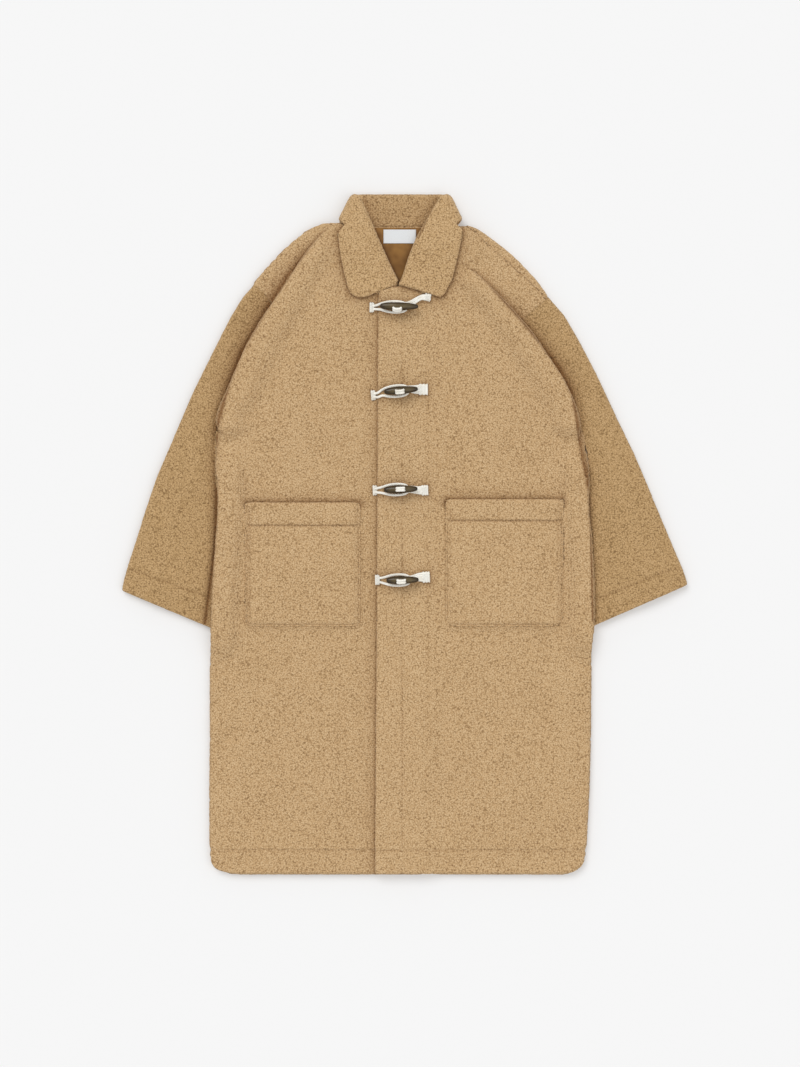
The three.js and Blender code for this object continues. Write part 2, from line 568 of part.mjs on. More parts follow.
// Collar: stand and fall in one turned-over band. A row runs from the neck seam up to the roll and down
// the fall. Turn is 0 where the fall lies on top (front), 180 where it lies below (back of the neck).
const COLLAR_STAND = 4.4;
const COLLAR_CENTRE = 13.8;
const LEAF_REST = 1;
const COLLAR_ROWS = [
  { x: -10.2, y: 942.5, neckX: -22, neckY: 938, edgeX: -62, edgeY: 921.8, turn: 0 },
  { x: -7.2, y: 948.6, neckX: -27, neckY: 942.2, edgeX: -76, edgeY: 922.4, turn: 0 },
  { x: -10.2, y: 953, neckX: -31, neckY: 945.6, edgeX: -83.5, edgeY: 926.6, turn: 0 },
  { x: -13.2, y: 958.6, neckX: -36, neckY: 949.9, edgeX: -88, edgeY: 936, turn: 0 },
  { x: -17.6, y: 967, neckX: -46, neckY: 958.4, edgeX: -91, edgeY: 947, turn: 0 },
  { x: -24.8, y: 982, neckX: -60, neckY: 972, edgeX: -95, edgeY: 962, turn: 0 },
  { x: -41, y: 1017, neckX: -83, neckY: 1004, edgeX: -101, edgeY: 993, turn: 0 },
  { x: -50, y: 1040, neckX: -89, neckY: 1026, edgeX: -104, edgeY: 1024, turn: 0 },
  { x: -71, y: 1084, neckX: -85, neckY: 1035, edgeX: -93, edgeY: 1036, turn: 0 },
  { x: -71, y: 1086, neckX: -85, neckY: 1035, edgeX: -92, edgeY: 1044, turn: 45 },
  { x: -71, y: 1087, neckX: -85, neckY: 1035, edgeX: -91, edgeY: 1046, turn: 90 },
  { x: -71, y: 1087, neckX: -84, neckY: 1035, edgeX: -92, edgeY: 1042, turn: 135 },
  { x: -70, y: 1087, neckX: -82, neckY: 1035, edgeX: -92, edgeY: 1034, turn: 180 },
  { x: -35, y: 1087, neckX: -42, neckY: 1035, edgeX: -48, edgeY: 1021, turn: 180 },
  { x: 0, y: 1087, neckX: -2, neckY: 1035, edgeX: -2, edgeY: 1018, turn: 180 },
  { x: 32, y: 1087, neckX: 40, neckY: 1035, edgeX: 44, edgeY: 1021, turn: 180 },
  { x: 61, y: 1087, neckX: 76, neckY: 1035, edgeX: 82, edgeY: 1034, turn: 180 },
  { x: 62, y: 1087, neckX: 78, neckY: 1035, edgeX: 82, edgeY: 1042, turn: 135 },
  { x: 62, y: 1087, neckX: 78, neckY: 1035, edgeX: 81, edgeY: 1046, turn: 90 },
  { x: 62, y: 1086, neckX: 78, neckY: 1035, edgeX: 82, edgeY: 1044, turn: 45 },
  { x: 60, y: 1084, neckX: 78, neckY: 1035, edgeX: 83, edgeY: 1038, turn: 0 },
  { x: 34, y: 1040, neckX: 82, neckY: 1026, edgeX: 94, edgeY: 1028, turn: 0 },
  { x: 22, y: 1020, neckX: 74, neckY: 1004, edgeX: 90, edgeY: 1004, turn: 0 },
  { x: 9, y: 989, neckX: 50, neckY: 972, edgeX: 83, edgeY: 972, turn: 0 },
  { x: 2, y: 967, neckX: 28, neckY: 955, edgeX: 76.5, edgeY: 948, turn: 0 },
  { x: -1, y: 958, neckX: 19, neckY: 947.5, edgeX: 70.5, edgeY: 938, turn: 0 },
  { x: -3.6, y: 950.6, neckX: 14, neckY: 943.3, edgeX: 65.5, edgeY: 926.6, turn: 0 },
  { x: -6, y: 946, neckX: 11.6, neckY: 941.3, edgeX: 58, edgeY: 921.6, turn: 0 },
  { x: -8.4, y: 941.2, neckX: 10.4, neckY: 940.4, edgeX: 46, edgeY: 926, turn: 0 },
];
function collarRow(row) {
  const turn = THREE.MathUtils.degToRad(row.turn);
  const side = row.x < 0 ? -1 : 1;
  const outward = { x: side * Math.sin(turn), z: Math.cos(turn) };
  const middle = { x: (row.neckX + row.edgeX) / 2, y: (row.neckY + row.edgeY) / 2 };
  const reach = Math.hypot(row.x - middle.x, row.y - middle.y);
  const along = { x: (row.x - middle.x) / reach, y: (row.y - middle.y) / reach };
  const roll = { x: row.x - along.x * (TURN + HALF), y: row.y - along.y * (TURN + HALF) };
  const level = (x, y) => {
    if (row.turn > 0) return COLLAR_CENTRE;
    const body = row.edgeX < 0 ? SIDES.right : SIDES.left;
    return frontMid(body, x * body.sign, y) - COLLAR_STAND;
  };
  const points = [];
  const put = (x, y, layer, lean, part) => {
    const distance = COLLAR_STAND + layer * (row.turn > 0 ? LAYER : LAYER + LEAF_REST);
    points.push({
      x: x + outward.x * distance, y, z: level(x, y) + outward.z * distance, lean, rise: 1 - 2 * layer, part,
    });
  };
  const toward = (from, to, distance) => {
    const length = Math.hypot(to.x - from.x, to.y - from.y);
    return { x: from.x + (to.x - from.x) * distance / length, y: from.y + (to.y - from.y) * distance / length };
  };
  const neck = { x: row.neckX, y: row.neckY };
  const edge = { x: row.edgeX, y: row.edgeY };
  for (const inside of [0, RIM_INSET]) {
    const place = toward(neck, roll, inside);
    put(place.x, place.y, 0, 0, rimPart(inside));
  }
  put((neck.x + roll.x) / 2, (neck.y + roll.y) / 2, 0, 0, 1);
  for (const angle of [0, 45, 90, 135, 180]) {
    const bend = THREE.MathUtils.degToRad(angle);
    const place = { x: roll.x + along.x * TURN * Math.sin(bend), y: roll.y + along.y * TURN * Math.sin(bend) };
    put(place.x, place.y, (1 - Math.cos(bend)) / 2, Math.sin(bend), 1);
  }
  for (const share of [0.35, 0.7]) {
    put(roll.x + (edge.x - roll.x) * share, roll.y + (edge.y - roll.y) * share, 1, 0, 1);
  }
  for (const inside of [RIM_INSET, 0]) {
    const place = toward(edge, roll, inside);
    put(place.x, place.y, 1, 0, rimPart(inside));
  }
  return points.map((point) => {
    const half = HALF * point.part;
    const lean = point.lean * half;
    const lift = point.rise * half * Math.sqrt(Math.max(0, 1 - point.lean ** 2));
    const shift = {
      x: -along.x * lean + outward.x * (point.lean < 1 ? lift : 0),
      y: -along.y * lean,
      z: outward.z * lift,
    };
    return [
      [point.x + shift.x, point.y + shift.y, point.z + shift.z],
      [point.x - shift.x, point.y - shift.y, point.z - shift.z],
    ];
  });
}
function collarBand() {
  return clothBody(COLLAR_ROWS.map(collarRow));
}

// Patch pocket with a turned top hem, on the front
const POCKETS = {
  left: { side: SIDES.left, inner: 68, outer: 254, bottom: 396, top: 598, stitch: 564, corner: 10 },
  right: { side: SIDES.right, inner: 70, outer: 252, bottom: 396, top: 593, stitch: 556, corner: 5 },
};
const POCKET_HEM_EXTRA = 0.8;
const POCKET_MOUTH = 1.6;
const POCKET_REST = 0.2;
function pocketPatch(pocket) {
  const { inner, outer, bottom, top, stitch, corner } = pocket;
  const rows = [
    { y: bottom, thin: EDGE_THIN, inset: corner }, { y: bottom + EDGE_ROW, thin: 1, inset: corner * 0.5 },
    { y: bottom + corner, thin: 1, inset: 0 }, { y: stitch - STITCH_WIDTH, thin: 1, inset: 0 },
    { y: stitch, thin: 1, inset: 0 }, { y: stitch + STITCH_WIDTH, thin: 1, inset: 0 },
    { y: top - EDGE_ROW, thin: 1, inset: 0 }, { y: top, thin: EDGE_THIN, inset: 0 },
  ];
  return clothBody(rows.map(({ y, thin, inset }) => {
    const low = inner + inset;
    const high = outer - inset;
    const lines = [low, low + RIM_INSET, (low + high) / 2, high - RIM_INSET, high];
    const hem = y > stitch ? POCKET_HEM_EXTRA : 0;
    const sunk = y === stitch ? STITCH_DEPTH : 0;
    const path = lines.map((out) => {
      const part = rimPart(Math.min(out - low, high - out));
      const z = frontMid(pocket.side, out, y) + LAYER + POCKET_REST + POCKET_MOUTH * ramp(stitch, top, y);
      return { out, z, up: (HALF + hem - sunk) * part, down: HALF * part };
    });
    return pairsFromPath(path, pocket.side.sign, y, thin);
  }));
}

// A flat patch on the back's inner face in the neck, from rows of its left and right ends
function neckPatch(rows, under, thickness) {
  return clothBody(rows.map(({ y, from, to }) => [from, to].map((x) => {
    const low = backMid(SIDES.left, x, y) + HALF + under;
    return [[x, y, low + thickness], [x, y, low]];
  })));
}
const LAYER_GAP = 0.3;
const LINING_THICKNESS = 1;
const LABEL_THICKNESS = 0.6;
const LINING_ROWS = [
  { y: 931, from: -22, to: 8 }, { y: 943, from: -28, to: 12 }, { y: 955, from: -32, to: 16 },
  { y: 962, from: -35, to: 18 }, { y: 972, from: -39, to: 21 }, { y: 983, from: -44, to: 25 },
  { y: 1004, from: -54, to: 33 }, { y: 1026, from: -60, to: 40 }, { y: 1033, from: -62, to: 42 },
];
const LABEL_ROWS = [{ y: 1008, from: -32, to: 20 }, { y: 1030, from: -32, to: 20 }];

// Toggle closures down the front. The loop is sewn to the right front by a bar, passes round the toggle's
// tie and closes under the toggle. The tie is sewn to the left front by a tab and threads the toggle.
// Each toggle lies at a tilt on the front and is rolled a little towards the hem.
const TOGGLES = [
  {
    name: "1", x: -7, y: 905.6, tilt: -1, roll: 48, length: 61, holes: -3,
    loopX: -49.8, loopY: 905.4, tabX: 32, tabY: 921, tabLength: 11, tabWidth: 11,
  },
  {
    name: "2", x: -4, y: 772, tilt: 5, roll: 20, length: 54, holes: -2,
    loopX: -47.6, loopY: 765, tabX: 22, tabY: 774, tabLength: 16.5, tabWidth: 16,
  },
  {
    name: "3", x: -4.4, y: 614.4, tilt: 2, roll: 0, length: 53.5, holes: -0.6,
    loopX: -44.8, loopY: 613, tabX: 27, tabY: 613, tabLength: 12, tabWidth: 15,
  },
  {
    name: "4", x: -1.6, y: 469.8, tilt: 1.5, roll: 18, length: 51.5, holes: -2,
    loopX: -41, loopY: 470, tabX: 28, tabY: 474.4, tabLength: 13.6, tabWidth: 16,
  },
];
const CORD = 1.6;
const CORD_SIDES = 6;
const TAB_HEIGHT = 3;
const BAR_WIDTH = 16;
const BAR_LENGTH = 6;
const BAR_ROOM = 4.2;
const LOOP_SPREAD = 8.7;
const HOLE = 2.1;
const HOLE_APART = 6;
const HOLE_MOUTH = 7.4;
const TOGGLE_PROFILE = [
  { at: 0, radius: 0 }, { at: 0.02, radius: 3.6 }, { at: 0.09, radius: 5.2 }, { at: 0.3, radius: 6.3 },
  { at: 0.6, radius: 6.3 }, { at: 0.9, radius: 5 }, { at: 0.98, radius: 3.4 }, { at: 1, radius: 0 },
];

function cordGeometry(places, steps) {
  const corners = places.map((place) => new THREE.Vector3(...place));
  const curve = new THREE.CatmullRomCurve3(corners, false, "centripetal");
  const frames = curve.computeFrenetFrames(steps);
  const position = [];
  const triangles = [];
  for (let i = 0; i <= steps; i += 1) {
    const centre = curve.getPointAt(i / steps);
    for (let k = 0; k < CORD_SIDES; k += 1) {
      const turn = (2 * Math.PI * k) / CORD_SIDES;
      const point = centre.clone()
        .addScaledVector(frames.normals[i], CORD * Math.cos(turn))
        .addScaledVector(frames.binormals[i], CORD * Math.sin(turn));
      position.push(point.x, point.y, point.z);
    }
  }
  for (let i = 0; i < steps; i += 1) {
    for (let k = 0; k < CORD_SIDES; k += 1) {
      const a = i * CORD_SIDES + k;
      const b = i * CORD_SIDES + ((k + 1) % CORD_SIDES);
      triangles.push(a, a + CORD_SIDES, b, b, a + CORD_SIDES, b + CORD_SIDES);
    }
  }
  const last = steps * CORD_SIDES;
  for (let k = 1; k < CORD_SIDES - 1; k += 1) {
    triangles.push(0, k, k + 1, last, last + k + 1, last + k);
  }
  const geometry = new THREE.BufferGeometry();
  geometry.setAttribute("position", new THREE.Float32BufferAttribute(position, 3));
  geometry.setIndex(facingOut(position, triangles));
  return geometry;
}
function toSolid(geometry) {
  geometry.deleteAttribute("uv");
  geometry.deleteAttribute("normal");
  const merged = mergeVertices(geometry, 1e-4);
  const vertProperties = merged.attributes.position.array;
  const triVerts = new Uint32Array(merged.index.array);
  return new solids.Manifold(new solids.Mesh({ numProp: 3, vertProperties, triVerts }));
}
function fromSolid(solid) {
  const mesh = solid.getMesh();
  const geometry = new THREE.BufferGeometry();
  geometry.setAttribute("position", new THREE.Float32BufferAttribute(mesh.vertProperties, 3));
  geometry.setIndex([...mesh.triVerts]);
  return geometry;
}
function block(length, width, height, x, y, z) {
  return toSolid(new THREE.BoxGeometry(length, width, height).translate(x, y, z));
}
const TOGGLE_RADIUS = 6.3;
const CLOSURE_REST = 0.3;
const CORD_PLAY = 0.4;
const TOGGLE_REST = 1;
function closureFloor(toggle) {
  const levels = [-10, 10].map((step) => frontMid(SIDES.left, 0, toggle.y + step));
  return Math.max(...levels) + HALF + CLOSURE_REST;
}
function atToggle(toggle, x, y) {
  const turn = THREE.MathUtils.degToRad(toggle.tilt);
  return [
    toggle.x + x * Math.cos(turn) - y * Math.sin(turn), toggle.y + x * Math.sin(turn) + y * Math.cos(turn),
  ];
}
function toggleMiddle(toggle) {
  return closureFloor(toggle) + 4 * CORD + TOGGLE_REST + TOGGLE_RADIUS;
}
// A place on the axis of a hole of the toggle, at a height above or below the toggle's own axis
function inHole(toggle, x, height) {
  const roll = THREE.MathUtils.degToRad(toggle.roll);
  return [
    ...atToggle(toggle, toggle.holes + x, -height * Math.sin(roll)),
    toggleMiddle(toggle) + height * Math.cos(roll),
  ];
}
function loopBody(toggle) {
  const top = closureFloor(toggle) + CORD;
  const edge = lookup(OVERLAP_EDGE, "out", toggle.y);
  const over = toggle.loopX > edge;
  const right = frontMid(SIDES.right, -toggle.loopX, toggle.loopY) + HALF + CLOSURE_REST + CORD;
  const rest = over ? top : right;
  const half = LOOP_SPREAD;
  const barX = toggle.loopX - 1;
  const barY = toggle.loopY;
  const rise = (side) => [[edge - 3.6, barY + 5.4 * side, rest + 2.6], [edge + 0.4, barY + 6 * side, top + 0.6]];
  const places = [
    [barX, barY + BAR_ROOM, rest], ...(over ? [] : rise(1)),
    [...atToggle(toggle, -22, half - 1), top], [...atToggle(toggle, -8, half), top],
    [...atToggle(toggle, 5, half - 0.5), top], [...atToggle(toggle, 11.5, 4.5), top],
    [...atToggle(toggle, 13, 0), top], [...atToggle(toggle, 11.5, -4.5), top],
    [...atToggle(toggle, 5, 0.5 - half), top], [...atToggle(toggle, -8, -half), top],
    [...atToggle(toggle, -22, 1 - half), top], ...(over ? [] : rise(-1).reverse()),
    [barX, barY - BAR_ROOM, rest],
  ];
  const bar = block(BAR_LENGTH, BAR_WIDTH, 2 * CORD + CORD_PLAY, barX, barY, rest);
  return fromSolid(toSolid(cordGeometry(places, 30)).add(bar));
}
function tieBody(toggle) {
  const floor = closureFloor(toggle);
  const over = floor + 2 * CORD + CORD_PLAY + CORD;
  const above = TOGGLE_RADIUS + CORD_PLAY + CORD;
  const tabZ = floor + TAB_HEIGHT / 2;
  const aside = HOLE_MOUTH * Math.sin(THREE.MathUtils.degToRad(toggle.roll));
  const places = [
    [toggle.tabX + 3, toggle.tabY + 2, tabZ], [toggle.tabX - 4, toggle.tabY + 2.4, tabZ + 1.4],
    [...atToggle(toggle, 15, 4.4), over], [...atToggle(toggle, 4, 4), over],
    [...atToggle(toggle, -4 + toggle.holes, aside * 0.5 + 2.6), over],
    inHole(toggle, -HOLE_APART, -HOLE_MOUTH),
    inHole(toggle, -HOLE_APART, -1.2), inHole(toggle, -HOLE_APART, above - 2),
    inHole(toggle, -HOLE_APART + 1.6, above), inHole(toggle, HOLE_APART - 1.6, above),
    inHole(toggle, HOLE_APART, above - 2), inHole(toggle, HOLE_APART, -1.2),
    inHole(toggle, HOLE_APART, -HOLE_MOUTH),
    [...atToggle(toggle, HOLE_APART + 2.6 + toggle.holes, aside * 0.8 - 1), over],
    [...atToggle(toggle, 15, -2.4), over], [toggle.tabX - 4, toggle.tabY - 2.4, tabZ + 1.4],
    [toggle.tabX + 3, toggle.tabY - 2, tabZ],
  ];
  const tabMiddle = toggle.tabX + toggle.tabLength / 2;
  const tab = block(toggle.tabLength, toggle.tabWidth, TAB_HEIGHT, tabMiddle, toggle.tabY, tabZ);
  return fromSolid(toSolid(cordGeometry(places, 40)).add(tab));
}
function toggleBody(toggle) {
  const profile = TOGGLE_PROFILE.map(({ at, radius }) => new THREE.Vector2(radius, (at - 0.5) * toggle.length));
  const horn = new THREE.LatheGeometry(profile, 12).rotateZ(-Math.PI / 2);
  let body = toSolid(horn);
  for (const x of [toggle.holes - HOLE_APART, toggle.holes + HOLE_APART]) {
    const hole = new THREE.CylinderGeometry(HOLE, HOLE, 20, 8).rotateX(Math.PI / 2).translate(x, 0, 0);
    body = body.subtract(toSolid(hole));
  }
  const roll = THREE.MathUtils.degToRad(toggle.roll);
  const tilt = THREE.MathUtils.degToRad(toggle.tilt);
  return fromSolid(body).rotateX(roll).rotateZ(tilt).translate(toggle.x, toggle.y, toggleMiddle(toggle));
}

const coat = new THREE.Group();
coat.name = "duffle_coat";

const COLOURS = {
  fleece: 0xc09f73, sleeve: 0xb5946a, lining: 0x8a633a, label: 0xe4e6e6, cord: 0xf3eadb, horn: 0x54462e,
};

function addPiece(name, geometry, colour, roughness = 0.95) {
  geometry.computeVertexNormals();
  const material = new THREE.MeshStandardMaterial({ color: colour, roughness, metalness: 0 });
  const mesh = new THREE.Mesh(geometry, material);
  mesh.name = name;
  coat.add(mesh);
}

addPiece("back", backPanel(), COLOURS.fleece);
addPiece("front_left", frontPanel(SIDES.left), COLOURS.fleece);
addPiece("front_right", frontPanel(SIDES.right), COLOURS.fleece);

addPiece("sleeve_left", sleeveTube(SLEEVE_LEFT), COLOURS.sleeve);
addPiece("sleeve_right", sleeveTube(SLEEVE_RIGHT), COLOURS.sleeve);
addPiece("collar", collarBand(), COLOURS.fleece);

addPiece("pocket_left", pocketPatch(POCKETS.left), COLOURS.fleece);
addPiece("pocket_right", pocketPatch(POCKETS.right), COLOURS.fleece);
addPiece("neck_lining", neckPatch(LINING_ROWS, LAYER_GAP, LINING_THICKNESS), COLOURS.lining, 0.45);
const labelUnder = 2 * LAYER_GAP + LINING_THICKNESS;
addPiece("neck_label", neckPatch(LABEL_ROWS, labelUnder, LABEL_THICKNESS), COLOURS.label, 0.8);
for (const toggle of TOGGLES) {
  addPiece(`loop_${toggle.name}`, loopBody(toggle), COLOURS.cord, 0.85);
  addPiece(`tie_${toggle.name}`, tieBody(toggle), COLOURS.cord, 0.85);
  addPiece(`toggle_${toggle.name}`, toggleBody(toggle), COLOURS.horn, 0.4);
}

// Origin at the middle of the coat, on the surface it lies on
const box = new THREE.Box3().setFromObject(coat);
const centre = box.getCenter(new THREE.Vector3());
coat.position.set(-centre.x, -centre.y, -box.min.z);

export default coat;
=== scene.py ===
"""Teddy fleece duffle coat, laid flat: the looks of every piece on its CAD solid's form.

Sizes are in millimetres on the coat's own axes until a mesh is made: x across from the centre line towards
the wearer's left, y up from the hem, z up from the floor.
"""

import itertools
import math

import bpy
import numpy as np
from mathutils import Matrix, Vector
from mathutils.bvhtree import BVHTree


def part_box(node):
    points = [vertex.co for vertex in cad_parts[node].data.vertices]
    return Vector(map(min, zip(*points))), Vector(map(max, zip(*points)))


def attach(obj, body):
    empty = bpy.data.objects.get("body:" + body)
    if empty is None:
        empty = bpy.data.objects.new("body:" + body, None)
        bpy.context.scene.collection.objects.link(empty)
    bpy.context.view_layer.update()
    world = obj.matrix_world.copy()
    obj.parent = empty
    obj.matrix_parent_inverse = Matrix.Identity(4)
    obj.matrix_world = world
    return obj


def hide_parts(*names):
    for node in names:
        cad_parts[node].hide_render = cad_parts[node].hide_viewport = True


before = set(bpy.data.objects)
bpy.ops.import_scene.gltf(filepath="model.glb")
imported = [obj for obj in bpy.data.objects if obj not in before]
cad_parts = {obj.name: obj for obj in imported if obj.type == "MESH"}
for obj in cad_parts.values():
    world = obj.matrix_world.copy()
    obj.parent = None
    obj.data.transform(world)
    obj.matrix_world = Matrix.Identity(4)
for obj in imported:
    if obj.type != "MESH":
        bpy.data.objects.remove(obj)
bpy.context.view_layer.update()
MM = 0.001

# Origin of the coat's own axes, in the frame
OVERLAP_AT_HEM = -45
ORIGIN = np.array([
    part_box("front_left")[0].x / MM - OVERLAP_AT_HEM,
    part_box("back")[0].y / MM,
    0.0,
])

FLEECE_THICK = 6.0

# Longest edge of a face between layers, and of one beside a sewn line as a share of the piece's usual one
EDGE_HIDDEN = 18.0
HIDDEN_WITHIN = 2.4
SEWN_SHARE = 2.6 / 3.9
SEWN_REACH = 3.6

FLEECE_NODES = [
    "back", "front_left", "front_right", "sleeve_left", "sleeve_right", "collar",
    "pocket_left", "pocket_right",
]


def to_coat(points):
    return points - ORIGIN


def from_coat(points):
    return points + ORIGIN


def ramp(low, high, value):
    part = np.clip((value - low) / (high - low), 0, 1)
    return part * part * (3 - 2 * part)


# Mesh arrays


def node_arrays(name):
    """Points (mm, coat axes) and triangles of a CAD node, with its split corners joined again."""
    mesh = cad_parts[name].data
    points = np.empty(3 * len(mesh.vertices))
    mesh.vertices.foreach_get("co", points)
    points = points.reshape(-1, 3) / MM
    mesh.calc_loop_triangles()
    faces = np.empty(3 * len(mesh.loop_triangles), np.int64)
    mesh.loop_triangles.foreach_get("vertices", faces)
    _, first, joined = np.unique(np.round(points, 3), axis=0, return_index=True, return_inverse=True)
    faces = joined.reshape(-1)[faces].reshape(-1, 3)
    real = (faces[:, 0] != faces[:, 1]) & (faces[:, 1] != faces[:, 2]) & (faces[:, 2] != faces[:, 0])
    return to_coat(points[first]), faces[real]


def face_normals(points, faces):
    a, b, c = (points[faces[:, k]] for k in range(3))
    return np.cross(b - a, c - a)


def point_normals(points, faces):
    across = face_normals(points, faces)
    total = np.zeros_like(points)
    for k in range(3):
        for axis in range(3):
            total[:, axis] += np.bincount(faces[:, k], across[:, axis], len(points))
    return total / np.maximum(np.linalg.norm(total, axis=1, keepdims=True), 1e-9)


def make_object(name, points, faces, material):
    mesh = bpy.data.meshes.new(name)
    corners = faces.tolist() if isinstance(faces, np.ndarray) else faces
    mesh.from_pydata((from_coat(points) * MM).tolist(), [], corners)
    mesh.materials.append(material)
    mesh.polygons.foreach_set("use_smooth", np.full(len(mesh.polygons), True))
    mesh.update()
    piece = bpy.data.objects.new(name, mesh)
    bpy.context.scene.collection.objects.link(piece)
    return piece


def give_attribute(piece, name, values):
    layer = piece.data.attributes.new(name, "FLOAT", "POINT")
    layer.data.foreach_set("value", np.asarray(values, np.float32))


# Triangles cut at their longest edges until each edge is below its limit. In a round, those edges are cut
# that come near the longest of their face.
CUT_SHARE = 0.72


def cut_faces(points, faces, limit):
    count = len(points)
    ends = np.sort(faces[:, [[0, 1], [1, 2], [2, 0]]].reshape(-1, 2), axis=1)
    keys, which = np.unique(ends[:, 0] * count + ends[:, 1], return_inverse=True)
    which = which.reshape(-1)
    low, high = keys // count, keys % count
    length = np.linalg.norm(points[low] - points[high], axis=1)
    edge_limit = np.full(len(keys), np.inf)
    np.minimum.at(edge_limit, which, np.repeat(limit, 3))
    over = np.where(length > edge_limit, length, 0)
    longest = np.zeros(len(keys))
    np.maximum.at(longest, which, np.repeat(over[which].reshape(-1, 3).max(axis=1), 3))
    cut = (over > 0) & (over >= CUT_SHARE * longest)
    if not cut.any():
        return points, faces, np.arange(len(faces)), False
    middle = np.full(len(keys), -1)
    middle[cut] = count + np.arange(cut.sum())
    points = np.vstack([points, (points[low[cut]] + points[high[cut]]) / 2])
    mark = cut[which].reshape(-1, 3)
    mid = middle[which].reshape(-1, 3)
    marks = mark.sum(axis=1)
    numbers = np.arange(len(faces))
    made = [faces[marks == 0]]
    parent = [numbers[marks == 0]]

    def add(chosen, *corners):
        made.append(np.stack(corners, axis=1))
        parent.append(numbers[chosen])

    every = marks == 3
    a, b, c = faces[every].T
    ab, bc, ca = mid[every].T
    for corners in [(a, ab, ca), (ab, b, bc), (ca, bc, c), (ab, bc, ca)]:
        add(every, *corners)
    for k in range(3):
        one = (marks == 1) & mark[:, k]
        a, b, c = (faces[one, (k + step) % 3] for step in range(3))
        m = mid[one, k]
        add(one, a, m, c)
        add(one, m, b, c)
        two = (marks == 2) & ~mark[:, k]
        a, b, c = (faces[two, (k + step) % 3] for step in range(3))
        mb, ma = mid[two, (k + 1) % 3], mid[two, (k + 2) % 3]
        add(two, mb, c, ma)
        one_way = np.linalg.norm(points[a] - points[mb], axis=1)
        other_way = np.linalg.norm(points[b] - points[ma], axis=1)
        short = one_way < other_way
        add(two, a, b, np.where(short, mb, ma))
        add(two, np.where(short, a, b), mb, ma)
    return points, np.vstack(made), np.concatenate(parent), True


def joined(parts):
    """Points and faces of several meshes as one."""
    points, faces, start = [], [], 0
    for part_points, part_faces in parts:
        points.append(part_points)
        faces.extend(tuple(corner + start for corner in face) for face in part_faces)
        start += len(part_points)
    return np.vstack(points), faces


def solid_tree(names):
    """Tree of several CAD nodes, for rays (mm, coat axes)."""
    nodes = [node_arrays(name) for name in names]
    points, faces = joined([(own_points, own_faces.tolist()) for own_points, own_faces in nodes])
    return BVHTree.FromPolygons(points.tolist(), faces)


def ray_lengths(tree, starts, directions, reach):
    """How far each ray goes before it meets something, or the reach if it meets nothing."""
    found = np.full(len(starts), reach)
    for i, (start, direction) in enumerate(zip(starts.tolist(), directions.tolist())):
        distance = tree.ray_cast(start, direction, reach)[3]
        if distance is not None:
            found[i] = distance
    return found


HIDDEN, SEEN, BELOW = 0, 1, 2
UNDERSIDE = -0.6
RAY_START = 0.02
cloth_tree = solid_tree(FLEECE_NODES + ["neck_lining"])


def face_kinds(points, faces):
    """Whether each face is between layers, seen, or seen only from below."""
    across = face_normals(points, faces)
    across /= np.maximum(np.linalg.norm(across, axis=1, keepdims=True), 1e-9)
    middles = points[faces].mean(axis=1)
    room = ray_lengths(cloth_tree, middles + RAY_START * across, across, HIDDEN_WITHIN)
    kinds = np.full(len(faces), SEEN)
    kinds[across[:, 2] < UNDERSIDE] = BELOW
    kinds[room < HIDDEN_WITHIN] = HIDDEN
    return kinds


def near_sewing(name, points, faces):
    """Whether each face is beside a sewn line of the piece."""
    middles = points[faces].mean(axis=1)
    near = np.zeros(len(faces), bool)
    for start, end, *_ in STITCH_LINES.get(name, []):
        near |= distance_to_line(middles, start, end)[0] < SEWN_REACH
    return near


def fine_mesh(name, edge_seen, edge_below):
    """The node's form in small triangles where it shows, smallest at sewn lines, and each triangle's kind."""
    points, faces = node_arrays(name)
    limits = np.array([EDGE_HIDDEN, edge_seen, edge_below])
    kinds = face_kinds(points, faces)
    going = True
    while going:
        limit = limits[kinds]
        sewn = (kinds == SEEN) & near_sewing(name, points, faces)
        limit[sewn] = np.minimum(limit[sewn], SEWN_SHARE * edge_seen)
        points, faces, parent, going = cut_faces(points, faces, limit)
        kinds = kinds[parent]
        corners = points[faces]
        size = np.linalg.norm(corners - np.roll(corners, 1, axis=1), axis=2).max(axis=1)
        again = (size > edge_seen) & going
        if again.any():
            kinds[again] = face_kinds(points, faces[again])
    return points, faces, kinds


SMOOTH_ROUNDS = 7
SMOOTH_STEP = 0.5
SMOOTH_REACH = 1.3


def smoothed(points, faces, free):
    """Free points drawn to the middle of their neighbours a few times, within a small reach of the solid."""
    ends = np.sort(faces[:, [[0, 1], [1, 2], [2, 0]]].reshape(-1, 2), axis=1)
    ends = np.unique(ends, axis=0)
    degree = np.bincount(ends.reshape(-1), minlength=len(points))
    here = points.copy()
    for _ in range(SMOOTH_ROUNDS):
        total = np.zeros_like(here)
        for axis in range(3):
            total[:, axis] = np.bincount(ends[:, 0], here[ends[:, 1], axis], len(points))
            total[:, axis] += np.bincount(ends[:, 1], here[ends[:, 0], axis], len(points))
        middle = total / np.maximum(degree, 1)[:, None]
        here[free] += SMOOTH_STEP * (middle[free] - here[free])
    moved = here - points
    length = np.linalg.norm(moved, axis=1, keepdims=True)
    return points + moved * np.minimum(1, SMOOTH_REACH / np.maximum(length, 1e-9))


# Noise for the pile


def hashed(cells, seed):
    """Three numbers from 0 to 1 for each whole-number cell."""
    mixed = cells[:, 0] * 73856093 ^ cells[:, 1] * 19349663 ^ cells[:, 2] * 83492791 ^ (seed * 2654435761)
    mixed = mixed.astype(np.uint64)
    values = []
    for step in range(3):
        mixed = (mixed ^ (mixed >> np.uint64(15))) * np.uint64(0x2C1B3C6D + 2 * step)
        mixed = (mixed ^ (mixed >> np.uint64(12))) & np.uint64(0xFFFFFFFF)
        values.append((mixed % np.uint64(65521)).astype(float) / 65521)
    return np.stack(values, axis=1)


